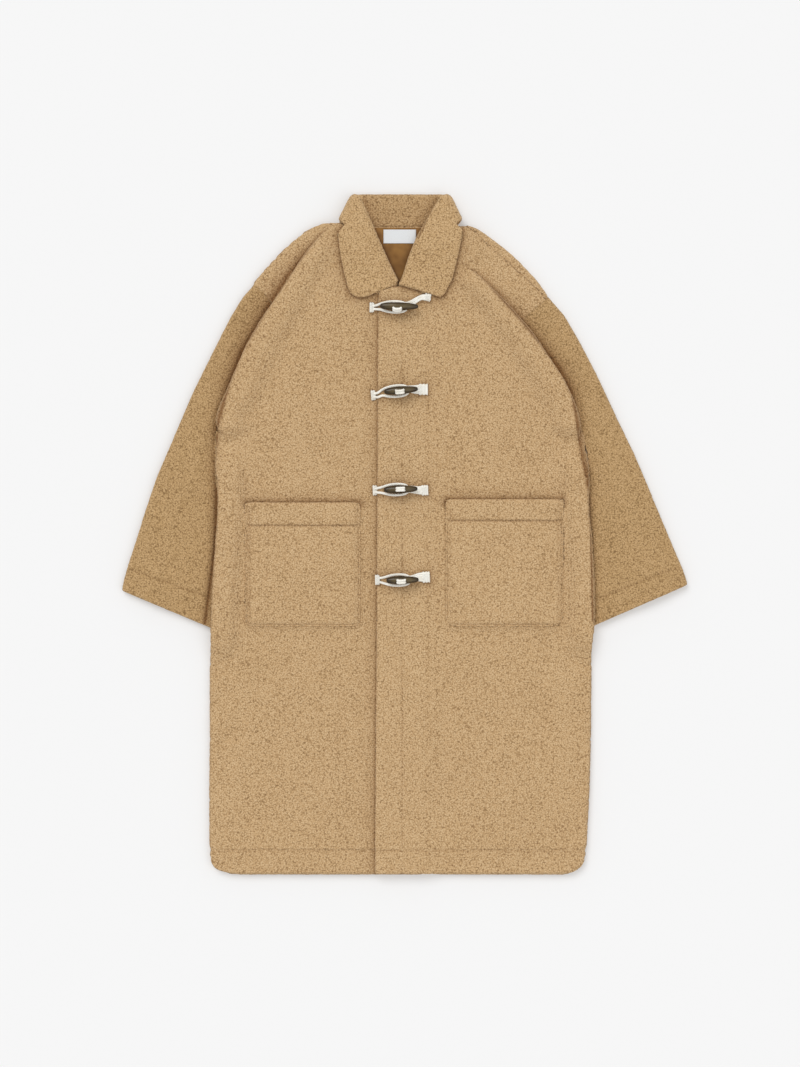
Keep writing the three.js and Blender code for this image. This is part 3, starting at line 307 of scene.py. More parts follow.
def cell_noise(points, size, seed):
    """Distance to the nearest and the second nearest of scattered centres, in cell sizes."""
    place = points / size
    base = np.floor(place).astype(np.int64)
    nearest = np.full(len(points), 9.0)
    second = np.full(len(points), 9.0)
    for step in itertools.product((-1, 0, 1), repeat=3):
        cells = base + np.array(step)
        distance = np.linalg.norm(cells + hashed(cells, seed) - place, axis=1)
        second = np.minimum(second, np.maximum(nearest, distance))
        nearest = np.minimum(nearest, distance)
    return nearest, second


def value_noise(points, size, seed):
    """Smooth noise from -1 to 1."""
    place = points / size
    base = np.floor(place).astype(np.int64)
    part = place - base
    part = part * part * (3 - 2 * part)
    total = np.zeros(len(points))
    for step in itertools.product((0, 1), repeat=3):
        corner = np.array(step)
        weight = np.prod(np.where(corner == 1, part, 1 - part), axis=1)
        total += weight * hashed(base + corner, seed)[:, 0]
    return 2 * total - 1


# Pile height
LOFT = 0.7
CURL_SIZE = 4.6
CURL_HEIGHT = 0.36
CLUMP_SIZE = 26.0
CLUMP_HEIGHT = 0.12
FLECK_SIZE = 2.6
FLECK_HEIGHT = 0.12
WARP = 2.6


def pile(points):
    """Height of the curled pile (mm) and its share from 0 in a gap to 1 at a tip."""
    warp = np.stack([value_noise(points, 6.0, seed) for seed in (1, 2, 3)], axis=1)
    nearest, second = cell_noise(points + WARP * warp, CURL_SIZE, 4)
    curl = np.clip(1.15 - nearest ** 2 * 1.5, 0, 1) * np.clip((second - nearest) * 3.2, 0.25, 1)
    fleck = value_noise(points, FLECK_SIZE, 5)
    clump = value_noise(points, CLUMP_SIZE, 6)
    share = np.clip(0.7 * curl + 0.18 * fleck + 0.06 * clump + 0.18, 0, 1)
    height = CURL_HEIGHT * (curl - 0.5) + FLECK_HEIGHT * fleck + CLUMP_HEIGHT * clump
    return height, share


# Sewn lines that show, where the pile sinks and dips at each stitch: ends, half width and depth (mm),
# and share of the sewing's tint
STITCH_PITCH = 5.4
STITCH_LINES = {
    "front_right": [((-320, 36), (-38, 37), 2.2, 0.7, 0.2)],
    "front_left": [
        ((-44, 37), (320, 35), 2.2, 0.8, 0.3), ((-2, 30), (-2, 925), 2.4, 0.4, 0.12),
    ],
    "sleeve_right": [((-438.4, 487.2), (-309.6, 441.6), 2.2, 0.9, 0.4)],
    "sleeve_left": [((439.2, 490.4), (308, 439.2), 2.2, 0.9, 0.4)],
    "pocket_left": [
        ((72, 565), (250, 564), 2.0, 0.8, 0.7), ((75, 588), (75, 404), 1.8, 0.7, 0.25),
        ((247, 588), (247, 404), 1.8, 0.7, 0.25),
    ],
    "pocket_right": [
        ((-248, 557), (-74, 557), 2.0, 0.8, 0.7), ((-246, 584), (-246, 404), 2.0, 0.9, 0.5),
        ((-77, 584), (-77, 404), 1.8, 0.6, 0.2),
    ],
}


def distance_to_line(points, start, end):
    """Distance across, place along as a share, and length (mm) of a line in plan."""
    start, end = np.array(start, float), np.array(end, float)
    along = end - start
    part = np.clip((points[:, :2] - start) @ along / (along @ along), 0, 1)
    return np.linalg.norm(points[:, :2] - start - part[:, None] * along, axis=1), part, np.linalg.norm(along)


def stitch_trough(name, points):
    """How far the pile sinks at the piece's sewn lines, and the share of the sewing there."""
    sunk = np.zeros(len(points))
    share = np.zeros(len(points))
    for start, end, width, depth, tint in STITCH_LINES.get(name, []):
        distance, part, length = distance_to_line(points, start, end)
        here = np.exp(-(distance / width) ** 2)
        dip = 0.7 + 0.3 * np.cos(2 * np.pi * part * length / STITCH_PITCH)
        sunk += depth * here * dip
        share = np.maximum(share, tint * here * dip)
    return sunk, share


# Soft creases and swells: ends, half width and height (mm), below 0 for a trough. Those on the
# underside are troughs, so that it stays flat where it rests.
CREASES = {
    "front_right": [
        ((-246, 304), (-308, 222), 12, 1.7), ((-262, 226), (-310, 196), 9, -1.6),
        ((-252, 212), (-294, 104), 15, 1.5), ((-240, 148), (-250, 70), 11, -0.9),
        ((-258, 384), (-300, 352), 14, 1.2), ((-276, 338), (-310, 318), 9, -0.9),
        ((-168, 740), (-171, 604), 15, 1.3), ((-202, 700), (-212, 612), 13, -0.8),
        ((-122, 980), (-134, 850), 22, 1.2), ((-190, 846), (-150, 764), 17, -0.9),
        ((-262, 770), (-206, 868), 13, -0.9),
    ],
    "front_left": [
        ((8, 808), (-4, 784), 10, -1.6), ((6, 758), (14, 740), 8, -0.8),
        ((8, 652), (-6, 628), 11, -1.7), ((12, 506), (-2, 482), 11, -1.7),
        ((14, 462), (22, 424), 8, -0.7), ((112, 752), (106, 640), 24, -1.0),
        ((150, 800), (136, 648), 20, 0.9), ((252, 376), (258, 112), 14, 1.0),
        ((226, 300), (222, 180), 12, -0.7), ((250, 66), (282, 52), 15, -1.1),
        ((264, 700), (238, 640), 14, 1.0),
    ],
    "sleeve_right": [
        ((-352, 716), (-416, 520), 24, 1.3), ((-350, 596), (-362, 500), 13, -0.9),
    ],
    "sleeve_left": [
        ((346, 690), (408, 540), 26, 1.2), ((398, 560), (428, 492), 12, -1.1),
        ((330, 610), (344, 500), 14, -0.8),
    ],
    "collar": [
        ((-70, 1030), (-52, 966), 14, 0.7), ((46, 1030), (48, 958), 14, 0.7),
    ],
}
CREASES_UNDER = {
    "back": [
        ((-96, 880), (-118, 520), 16, -1.0), ((88, 850), (104, 560), 15, -0.9),
        ((-240, 720), (-150, 600), 12, -0.8), ((246, 712), (172, 628), 12, -0.8),
        ((-30, 430), (-52, 90), 18, -0.9), ((142, 400), (160, 130), 16, -0.8),
        ((-236, 330), (-226, 60), 14, -0.8),
    ],
    "sleeve_right": [((-330, 640), (-384, 520), 14, -0.8)],
    "sleeve_left": [((334, 650), (376, 530), 14, -0.8)],
}


def crease_height(creases, name, points):
    height = np.zeros(len(points))
    for start, end, width, depth in creases.get(name, []):
        distance, part, _ = distance_to_line(points, start, end)
        taper = np.sin(np.pi * (0.04 + 0.92 * part)) ** 0.7
        height += depth * taper * np.exp(-(distance / width) ** 2)
    return height


# Pieces that stand over each piece's seen side, how strongly the pile packs down and takes painted shade
# beside them, and how far it banks up against them (mm)
CLOSURE_NODES = [f"{kind}_{k}" for kind in ("loop", "tie", "toggle") for k in (1, 2, 3, 4)]
OVER = {
    "back": [(["front_left", "front_right"], 0.2, 3.0)],
    "front_left": [(["collar"], 0.9, 0), (["pocket_left"], 0.12, 2.6), (CLOSURE_NODES, 0.6, 0)],
    "front_right": [
        (["front_left"], 0.9, 1.4), (["collar"], 0.9, 0),
        (["pocket_right"], 0.12, 2.6), (CLOSURE_NODES, 0.5, 0),
    ],
    "collar": [(CLOSURE_NODES, 0.4, 0)],
    "neck_lining": [(["collar", "front_left", "front_right"], 1.0, 0)],
}
PACKED_REACH = 30.0
PACKED_NEAR = 3.6
PACKED_FAR = 9.0
NEAR_SHARE = 0.62
MOUTH_LEVEL = 586.0
MOUTH_STRENGTH = 1.1
RAISED = 2.4
LEVEL_SLACK = 1.2
BANK_WIDTH = 5.0


def pile_packing_and_shade(name, points, chosen):
    """Beside pieces that stand over the pile: its share of packing and of painted shade, and its bank's
    height (mm).
    """
    packed_and_shade = np.zeros(len(points))
    bank = np.zeros(len(points))
    for nodes, strength, banks in OVER.get(name, []):
        tree = solid_tree(nodes)
        for i in chosen:
            raised = points[i] + (0, 0, RAISED)
            place, _, _, distance = tree.find_nearest(raised.tolist(), PACKED_REACH)
            if place is None or place.z < raised[2] - LEVEL_SLACK:
                continue
            # The front above a pocket's mouth takes stronger painted shade and no bank
            mouth = nodes[0].startswith("pocket") and points[i, 1] > MOUTH_LEVEL
            here = MOUTH_STRENGTH if mouth else strength
            share = NEAR_SHARE * math.exp(-distance / PACKED_NEAR)
            share += (1 - NEAR_SHARE) * math.exp(-distance / PACKED_FAR)
            packed_and_shade[i] = max(packed_and_shade[i], here * share)
            if not mouth:
                bank[i] = max(bank[i], banks * math.exp(-(distance / BANK_WIDTH) ** 2))
    return np.minimum(packed_and_shade, 1), bank


# Folds of the sleeves in under the body: line (mm), and width of the shade on its outer side at levels of y
FOLDS = [
    {
        "pieces": ["sleeve_right", "front_right"], "side": 1,
        "line": [
            (-106, 1044), (-134, 1020), (-162, 984), (-188, 950), (-213, 911), (-239, 866), (-259, 834),
            (-278, 783), (-298, 708), (-298, 640), (-302, 520), (-318, 400),
        ],
        "levels": [400, 560, 760, 920, 990, 1030],
        "widths": [3.5, 4.5, 9.5, 11.5, 7.0, 3.0],
    },
    {
        "pieces": ["sleeve_left", "front_left"], "side": -1,
        "line": [
            (90, 978), (122, 956), (154, 921), (186, 886), (218, 847), (250, 806), (268, 770), (283, 678),
            (295, 598), (298, 550), (301, 406),
        ],
        "levels": [400, 560, 680, 790, 900, 965],
        "widths": [3.5, 4.0, 6.0, 9.0, 9.0, 3.0],
    },
]
FOLD_STRENGTH = 1.15
FOLD_INSIDE = 5.0


def fold_shade(name, points):
    """How far the cloth is in the shade of a fold, from 0 to 1."""
    shade = np.zeros(len(points))
    for fold in FOLDS:
        if name not in fold["pieces"]:
            continue
        near = np.full(len(points), 1e3)
        for start, end in itertools.pairwise(fold["line"]):
            distance, _, _ = distance_to_line(points, start, end)
            off = points[:, :2] - start
            turn = (end[0] - start[0]) * off[:, 1] - (end[1] - start[1]) * off[:, 0]
            outer = (turn * fold["side"] < 0) | name.startswith("sleeve")
            near = np.minimum(near, np.where(outer, distance, distance * FOLD_INSIDE))
        width = np.interp(points[:, 1], fold["levels"], fold["widths"])
        top = fold["levels"][-1]
        strength = FOLD_STRENGTH * np.interp(points[:, 1], [top - 40, top + 20], [1, 0.2])
        shade = np.maximum(shade, strength * np.exp(-near / width))
    return np.minimum(shade, 1)


# The collar's inner side, between its leaves: its sides at its foot and at its top, and its shade
STAND_LEVELS = [1014, 1087]
STAND_LEFT = [-40, -68]
STAND_RIGHT = [26, 57]
STAND_TONE = 0.16
STAND_EDGE = 9.0


def inner_collar(points):
    """How far the collar's inner side is in the shade of its leaves, from 0 to 1."""
    foot, top = STAND_LEVELS
    left = np.interp(points[:, 1], STAND_LEVELS, STAND_LEFT)
    right = np.interp(points[:, 1], STAND_LEVELS, STAND_RIGHT)
    near = np.minimum(points[:, 0] - left, right - points[:, 0])
    low = np.clip((top - points[:, 1]) / 60, 0, 1)
    shade = STAND_TONE + 0.12 * low + 0.3 * np.exp(-np.maximum(near, 0) / STAND_EDGE)
    return np.where((near > 0) & (points[:, 1] > foot), shade, 0)


# The pocket's sewn edges are pulled down to the front
RIM_REACH = 9.0
RIM_SINK = 3.0
POCKET_BOX = {"pocket_left": (68, 254, 396), "pocket_right": (-252, -70, 396)}


def pocket_rim(name, points):
    if name not in POCKET_BOX:
        return np.zeros(len(points))
    low, high, bottom = POCKET_BOX[name]
    inside = np.minimum(np.minimum(points[:, 0] - low, high - points[:, 0]), points[:, 1] - bottom)
    return RIM_SINK * (1 - ramp(0, RIM_REACH, inside))


# The body's side edges swell where the sleeves leave them: place of the middle, width and height (mm)
EDGE_SWELLS = {
    -1: {"x": -296, "y": 652, "width": 22, "height": 5.0},
    1: {"x": 291, "y": 642, "width": 32, "height": 5.6},
}
SWELL_REACH = 9.0


def edge_swell(name, points, normals):
    swell = np.zeros(len(points))
    if name not in ("back", "front_left", "front_right"):
        return swell
    for side, place in EDGE_SWELLS.items():
        outward = np.clip(2.2 * normals[:, 0] * side - 0.4, 0, 1)
        near = np.abs(points[:, 0] - place["x"]) < SWELL_REACH
        along = np.exp(-((points[:, 1] - place["y"]) / place["width"]) ** 2)
        swell += place["height"] * outward * near * along
    return swell


# Seams across which the pile closes: the piece on the other side of each
SEAMS = {
    "front_right": ["sleeve_right"], "sleeve_right": ["front_right"],
    "front_left": ["sleeve_left"], "sleeve_left": ["front_left"],
}
SEAM_REACH = 2.6
SEAM_LIFT = 1.7
SEAM_CLOSE = 0.35


def seam_lift(name, points, normals, chosen):
    lift = np.zeros(len(points))
    if name in SEAMS:
        tree = solid_tree(SEAMS[name])
        for i in chosen:
            if 0.15 < normals[i, 2] < 0.985:
                distance = tree.find_nearest(points[i].tolist(), SEAM_REACH)[3]
                if distance is not None:
                    lift[i] = SEAM_LIFT * (1 - distance / SEAM_REACH)
    return lift


# How far the cloth sinks in a fold's shade, how much flatter the pile lies where it is sewn or packed, and
# the room that it keeps to other pieces (mm)
FOLD_SINK = {"sleeve_left": 3.0, "sleeve_right": 3.0, "front_left": 1.0, "front_right": 1.0}
SEWN_FLATTER = 0.6
PACKED_FLATTER = 0.5
ROOM_REACH = 7.0
ROOM_KEPT = 0.15


def fleece_piece(name, material, edge_seen, edge_below):
    """The node's form with its pile: curls where it shows, plain cloth between the layers."""
    points, faces, kinds = fine_mesh(name, edge_seen, edge_below)
    loose = np.ones(len(points), bool)
    loose[faces[kinds == HIDDEN].reshape(-1)] = False
    points = smoothed(points, faces, loose)
    free = np.zeros(len(points), bool)
    free[faces[kinds != HIDDEN].reshape(-1)] = True
    normals = point_normals(points, faces)
    height, share = pile(points)
    sunk, sewn = stitch_trough(name, points)
    facing_up = np.clip(normals[:, 2] * 1.5, 0, 1)
    facing_down = np.clip(-normals[:, 2] * 1.5, 0, 1)
    chosen = np.flatnonzero(free)
    upper = chosen[normals[chosen, 2] > 0]
    packed_and_shade, bank = pile_packing_and_shade(name, points, upper)
    folded = fold_shade(name, points) * facing_up
    # The fold's shade joins this share and darkens the colour as painted shade
    packed_and_shade = np.maximum(packed_and_shade, folded)
    # Painted shade on the collar's inner side, between its leaves
    if name == "collar":
        packed_and_shade = np.maximum(packed_and_shade, inner_collar(points) * facing_up)
    height *= (1 - SEWN_FLATTER * sewn * facing_up) * (1 - PACKED_FLATTER * packed_and_shade)
    height -= sunk * facing_up
    resting = (normals[:, 2] < -0.3) & (points[:, 2] < 2)
    height = np.where(resting, height - CURL_HEIGHT * 0.5 - FLECK_HEIGHT - CLUMP_HEIGHT, height + LOFT)
    height += crease_height(CREASES, name, points) * facing_up - pocket_rim(name, points) * facing_up
    height += crease_height(CREASES_UNDER, name, points) * facing_down
    height += bank * facing_up - FOLD_SINK.get(name, 0) * folded
    others = [other for other in FLEECE_NODES + CLOSURE_NODES + ["neck_lining"] if other != name]
    room = np.full(len(points), 0.0)
    room[chosen] = ray_lengths(solid_tree(others), points[chosen], normals[chosen], ROOM_REACH)
    sideways = np.clip(1.6 - 2 * np.abs(normals[:, 2]), 0, 1)
    crowded = (room < ROOM_REACH) & free
    height = np.where(crowded, np.maximum(height, sideways * (0.5 * room - 0.05)), height)
    height = np.minimum(height + edge_swell(name, points, normals), room - ROOM_KEPT)
    height[~free] = 0
    lift = seam_lift(name, points, normals, upper)
    points = points + normals * height[:, None]
    points[:, 2] += lift
    points[:, :2] += SEAM_CLOSE * (lift > 0)[:, None] * normals[:, :2]
    points[:, 2] = np.maximum(points[:, 2], 0)
    piece = make_object(name + "_fleece", points, faces, material)
    # The pile's share also colours the fleece, its gaps darker: partly painted shade
    give_attribute(piece, "pile", np.where(free, share, 0.5))
    give_attribute(piece, "sewn", sewn * facing_up)
    # Share of packing and of painted shade: beside pieces over it, in folds and inside the collar
    give_attribute(piece, "packed_and_shade", np.where(free, packed_and_shade, 1))
    return piece


# Materials


def new_material(name):
    material = bpy.data.materials.new(name)
    material.use_nodes = True
    nodes = material.node_tree.nodes
    links = material.node_tree.links
    shader = nodes["Principled BSDF"]
    return material, nodes, links, shader


def add_node(nodes, kind, **sockets):
    node = nodes.new(kind)
    for key, value in sockets.items():
        if key in node.inputs:
            node.inputs[key].default_value = value
        else:
            setattr(node, key, value)
    return node


def colour_ramp(nodes, stops):
    node = nodes.new("ShaderNodeValToRGB")
    ramp_points = node.color_ramp.elements
    while len(ramp_points) < len(stops):
        ramp_points.new(0.5)
    for point, (place, colour) in zip(ramp_points, stops):
        point.position = place
        point.color = (*colour, 1)
    return node


def colour_mix(nodes, links, first, second, factor, blend="MIX"):
    """A mix of two colours (each a socket or a colour) by a socket."""
    node = add_node(nodes, "ShaderNodeMix", data_type="RGBA", blend_type=blend)
    colours = [socket for socket in node.inputs if socket.type == "RGBA"]
    for socket, value in zip(colours, (first, second)):
        if isinstance(value, tuple):
            socket.default_value = (*value, 1)
        else:
            links.new(value, socket)
    links.new(factor, node.inputs["Factor"])
    return [socket for socket in node.outputs if socket.type == "RGBA"][0]


def add_maths(nodes, links, operation, *values):
    """A maths node on sockets and numbers."""
    node = add_node(nodes, "ShaderNodeMath", operation=operation)
    for socket, value in zip(node.inputs, values):
        if isinstance(value, float):
            socket.default_value = value
        else:
            links.new(value, socket)
    return node.outputs[0]


def place_textures(nodes, links, *textures):
    """Textures laid out by the piece's own coordinates."""
    place = nodes.new("ShaderNodeTexCoord")
    for node in textures:
        links.new(place.outputs["Object"], node.inputs["Vector"])


def add_bump(nodes, links, height, strength, distance):
    node = add_node(nodes, "ShaderNodeBump", Strength=strength, Distance=distance)
    links.new(height, node.inputs["Height"])
    return node


def set_shader(shader, **values):
    """Numbers and colours on the shader's own sockets, with _ for a space in a socket's name."""
    for key, value in values.items():
        shader.inputs[key.replace("_", " ")].default_value = value


# Painted shade beside and under other pieces, the sewing's tint, and painted shade on the lining
PAINTED_SHADE_TONE = (0.40, 0.29, 0.20)
SEWN_TONE = (0.50, 0.42, 0.35)
LINING_SHADE = (0.3, 0.2, 0.16)


def fleece_material(name, dark, middle, light):
    """Wormlike curls: thin dark gaps where a fine noise passes its middle, over the pile's own height. The
    gaps' darkness is partly painted shade of the pile's hollows, partly the fleece's own random tone.
    """
    material, nodes, links, shader = new_material(name)
    height = add_node(nodes, "ShaderNodeAttribute", attribute_name="pile")
    sewn = add_node(nodes, "ShaderNodeAttribute", attribute_name="sewn")
    packed_and_shade = add_node(nodes, "ShaderNodeAttribute", attribute_name="packed_and_shade")
    curls = add_node(nodes, "ShaderNodeTexNoise", Scale=290.0, Detail=0.0, Distortion=0.15)
    fibre = add_node(nodes, "ShaderNodeTexNoise", Scale=760.0, Detail=2.0, Roughness=0.6)
    patch = add_node(nodes, "ShaderNodeTexNoise", Scale=16.0, Detail=2.0)
    tuft = add_node(nodes, "ShaderNodeTexVoronoi", Scale=390.0, Randomness=0.8)
    place_textures(nodes, links, fibre, patch, curls, tuft)
    off_middle = add_maths(nodes, links, "SUBTRACT", curls.outputs["Fac"], 0.5)
    worm = add_maths(nodes, links, "MULTIPLY", add_maths(nodes, links, "ABSOLUTE", off_middle), 6.0)
    worm = add_maths(nodes, links, "MINIMUM", worm, 1.0)
    # Light tuft middles and dark edges: partly painted shade of the pile's hollows
    tip = add_maths(nodes, links, "MULTIPLY_ADD", tuft.outputs["Distance"], -1.2, 1.0)
    tone = add_maths(nodes, links, "MULTIPLY", worm, 0.26)
    for socket, weight in (
        (tip, 0.9), (fibre.outputs["Fac"], 0.5), (height.outputs["Fac"], 0.06), (patch.outputs["Fac"], 0.10),
    ):
        tone = add_maths(nodes, links, "MULTIPLY_ADD", socket, weight, tone)
    level = add_node(nodes, "ShaderNodeMapRange")
    level.inputs["From Min"].default_value = 0.36
    level.inputs["From Max"].default_value = 1.28
    links.new(tone, level.inputs["Value"])
    colours = colour_ramp(nodes, [(0.0, dark), (0.5, middle), (1.0, light)])
    links.new(level.outputs["Result"], colours.inputs["Fac"])
    colour = colour_mix(nodes, links, colours.outputs["Color"], SEWN_TONE, sewn.outputs["Fac"], "MULTIPLY")
    # Painted shade beside other pieces, in folds and inside the collar
    colour = colour_mix(nodes, links, colour, PAINTED_SHADE_TONE, packed_and_shade.outputs["Fac"], "MULTIPLY")
    links.new(colour, shader.inputs["Base Color"])
    tufts = add_bump(nodes, links, tip, 0.9, 0.0012)
    rough = add_bump(nodes, links, fibre.outputs["Fac"], 0.6, 0.0007)
    links.new(tufts.outputs["Normal"], rough.inputs["Normal"])
    links.new(rough.outputs["Normal"], shader.inputs["Normal"])
    set_shader(
        shader, Roughness=0.95, Specular_IOR_Level=0.12, Sheen_Weight=0.2, Sheen_Roughness=0.6,
        Sheen_Tint=(1.0, 0.86, 0.68, 1),
    )
    return material


# Gaps, middle and tips of each fleece; the sleeves' fleece is the body's made darker, as painted shade
body_fleece = fleece_material(
    "body_fleece", (0.267, 0.154, 0.067), (0.551, 0.356, 0.177), (0.713, 0.51, 0.292),
)
collar_fleece = fleece_material(
    "collar_fleece", (0.243, 0.141, 0.059), (0.527, 0.337, 0.16), (0.697, 0.484, 0.266),
)
# Painted shade: the sleeves' fleece darker than the body's
sleeve_fleece = fleece_material(
    "sleeve_fleece", (0.225, 0.130, 0.051), (0.461, 0.289, 0.129), (0.634, 0.42, 0.213),
)


def lining_material():
    material, nodes, links, shader = new_material("satin_lining")
    packed_and_shade = add_node(nodes, "ShaderNodeAttribute", attribute_name="packed_and_shade")
    weave = add_node(nodes, "ShaderNodeTexWave", Scale=420.0, Distortion=0.6, bands_direction="DIAGONAL")
    cloud = add_node(nodes, "ShaderNodeTexNoise", Scale=38.0, Detail=2.0)
    place_textures(nodes, links, weave, cloud)
    colours = colour_ramp(nodes, [(0.3, (0.17, 0.072, 0.016)), (0.7, (0.35, 0.178, 0.046))])
    links.new(cloud.outputs["Fac"], colours.inputs["Fac"])
    satin = colours.outputs["Color"]
    # Painted shade beside the collar and the fronts
    colour = colour_mix(nodes, links, satin, LINING_SHADE, packed_and_shade.outputs["Fac"], "MULTIPLY")
    links.new(colour, shader.inputs["Base Color"])
    bump = add_bump(nodes, links, weave.outputs["Fac"], 0.15, 0.0002)
    links.new(bump.outputs["Normal"], shader.inputs["Normal"])
    set_shader(shader, Roughness=0.42, Specular_IOR_Level=0.22)
    return material


def label_material():
    material, nodes, links, shader = new_material("woven_label")
    weft = add_node(nodes, "ShaderNodeTexWave", Scale=900.0, bands_direction="Y")
    warp = add_node(nodes, "ShaderNodeTexWave", Scale=900.0, bands_direction="X")
    place_textures(nodes, links, weft, warp)
    both = add_maths(nodes, links, "MULTIPLY", weft.outputs["Fac"], warp.outputs["Fac"])
    colours = colour_ramp(nodes, [(0.0, (0.66, 0.68, 0.69)), (0.6, (0.84, 0.85, 0.86))])
    links.new(both, colours.inputs["Fac"])
    links.new(colours.outputs["Color"], shader.inputs["Base Color"])
    bump = add_bump(nodes, links, both, 0.3, 0.0002)
    links.new(bump.outputs["Normal"], shader.inputs["Normal"])
    set_shader(shader, Roughness=0.7)
    return material


def cord_material():
    material, nodes, links, shader = new_material("cotton_cord")
    fibre = add_node(nodes, "ShaderNodeTexNoise", Scale=1400.0, Detail=3.0)
    stain = add_node(nodes, "ShaderNodeTexNoise", Scale=90.0, Detail=2.0)
    place_textures(nodes, links, fibre, stain)
    mixed = add_maths(nodes, links, "MULTIPLY", fibre.outputs["Fac"], stain.outputs["Fac"])
    colours = colour_ramp(nodes, [(0.08, (0.80, 0.75, 0.64)), (0.26, (0.95, 0.93, 0.86))])
    links.new(mixed, colours.inputs["Fac"])
    links.new(colours.outputs["Color"], shader.inputs["Base Color"])
    bump = add_bump(nodes, links, fibre.outputs["Fac"], 0.5, 0.0003)
    links.new(bump.outputs["Normal"], shader.inputs["Normal"])
    set_shader(shader, Roughness=0.85, Sheen_Weight=0.2)
    return material


def horn_material():
    material, nodes, links, shader = new_material("horn_toggle")
    stretch = add_node(nodes, "ShaderNodeMapping")
    stretch.inputs["Scale"].default_value = (0.22, 1.0, 1.0)
    place_textures(nodes, links, stretch)
    streak = add_node(nodes, "ShaderNodeTexNoise", Scale=420.0, Detail=4.0, Distortion=0.6)
    cloud = add_node(nodes, "ShaderNodeTexNoise", Scale=75.0, Detail=2.0)
    for node in (streak, cloud):
        links.new(stretch.outputs["Vector"], node.inputs["Vector"])
    clouded = add_maths(nodes, links, "MULTIPLY", cloud.outputs["Fac"], 0.2)
    mixed = add_maths(nodes, links, "MULTIPLY_ADD", streak.outputs["Fac"], 0.4, clouded)
    # Painted shade: the toggle's rims and ends darker, its middle lighter
    ends = add_node(nodes, "ShaderNodeAttribute", attribute_name="belly")
    mixed = add_maths(nodes, links, "MULTIPLY_ADD", ends.outputs["Fac"], 0.4, mixed)
    colours = colour_ramp(nodes, [
        (0.3, (0.010, 0.006, 0.004)), (0.52, (0.046, 0.030, 0.012)), (0.8, (0.135, 0.098, 0.042)),
    ])
    links.new(mixed, colours.inputs["Fac"])
    links.new(colours.outputs["Color"], shader.inputs["Base Color"])
    set_shader(shader, Roughness=0.24, Specular_IOR_Level=0.35)
    return material


lining_satin = lining_material()
label_tape = label_material()
cord_cotton = cord_material()
toggle_horn = horn_material()


# Fleece pieces: the size of each one's cut (m), what it rests on, and the longest edge of a face seen from
# above and of one seen only from below (mm)


def solid_volume(name):
    points, faces = node_arrays(name)
    a, b, c = (points[faces[:, k]] for k in range(3))
    return abs(np.einsum("ij,ij->i", a, np.cross(b, c)).sum()) / 6


CLOTH = [
    ("back", (0.618, 1.034), ["floor"], 5.4, 9.5),
    ("front_left", (0.349, 1.034), ["back", "front_right"], 4.1, 9),
    ("front_right", (0.335, 1.040), ["back"], 4.1, 9),
    ("sleeve_left", (0.35, 0.52), ["floor"], 2.8, 6),
    ("sleeve_right", (0.35, 0.52), ["floor"], 2.8, 6),
    ("collar", (0.56, 0.14), ["front_left", "front_right"], 2.4, 4.4),
    ("pocket_left", (0.186, 0.202), ["front_left"], 3.0, 9),
    ("pocket_right", (0.182, 0.197), ["front_right"], 3.0, 9),
]
COARSER = 1.0

for name, cut, rests, edge_seen, edge_below in CLOTH:
    worn = {"sleeve": sleeve_fleece, "collar": collar_fleece}.get(name.split("_")[0], body_fleece)
    piece = fleece_piece(name, worn, edge_seen * COARSER, edge_below * COARSER)
    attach(piece, "root")
    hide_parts(name)
    area = min(solid_volume(name) / FLEECE_THICK * MM * MM, cut[0] * cut[1])


# Neck lining and label


def neck_piece(name, material, thickness, wave, edge):
    points, faces = node_arrays(name)
    going = True
    while going:
        points, faces, _, going = cut_faces(points, faces, np.full(len(faces), edge))
    normals = point_normals(points, faces)
    swell = wave * value_noise(points * (1, 0.35, 0), 9.0, 11) * np.clip(normals[:, 2], 0, 1)
    points[:, 2] += swell
    piece = make_object(name + "_cloth", points, faces, material)
    if name in OVER:
        # Painted shade beside the pieces over it
        packed_and_shade, _ = pile_packing_and_shade(name, points, np.flatnonzero(normals[:, 2] > 0.3))
        give_attribute(piece, "packed_and_shade", packed_and_shade)
    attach(piece, "root")
    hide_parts(name)
    area = solid_volume(name) / thickness * MM * MM
    return piece, area


lining, lining_area = neck_piece("neck_lining", lining_satin, 1.0, 0.12, 3.0)
label, label_area = neck_piece("neck_label", label_tape, 0.6, 0.05, 2.0)


# Closures: sizes and places as in the part's source (mm, degrees)
TOGGLE_KEYS = (
    "name", "x", "y", "tilt", "roll", "length", "holes", "loop", "tab", "tab_length", "tab_width", "tab_turn",
)
TOGGLES = [
    ("1", -7, 905.6, -1, 48, 61, -3, (-49.8, 905.4), (32, 921), 11, 11, -14),
    ("2", -4, 772, 5, 20, 54, -2, (-47.6, 765), (22, 774), 16.5, 16, 0),
    ("3", -4.4, 614.4, 2, 0, 53.5, -0.6, (-44.8, 613), (27, 613), 12, 15, 4),
    ("4", -1.6, 469.8, 1.5, 18, 51.5, -2, (-41, 470), (28, 474.4), 13.6, 16, 4),
]
CORD = 1.6
PLY = 1.16
PLY_OFF = 0.98
TWIST = 8.0
PLIES = 3
PLY_SIDES = 7
CORD_STEP = 0.8
LOOP_SPREAD = 8.7
BAR_WIDTH = 16
BAR_LENGTH = 6
BAR_WRAPS = 8
TAB_WRAPS = 9
WRAP_HEIGHT = 4.6
TOGGLE_RADIUS = 6.3
HOLE_APART = 6
HOLE_MOUTH = 7.4
HOLE = (2.4, 4.0)
HOLE_SIDES = 24
HOLE_HALF = 9
OVERLAP_EDGE = -41


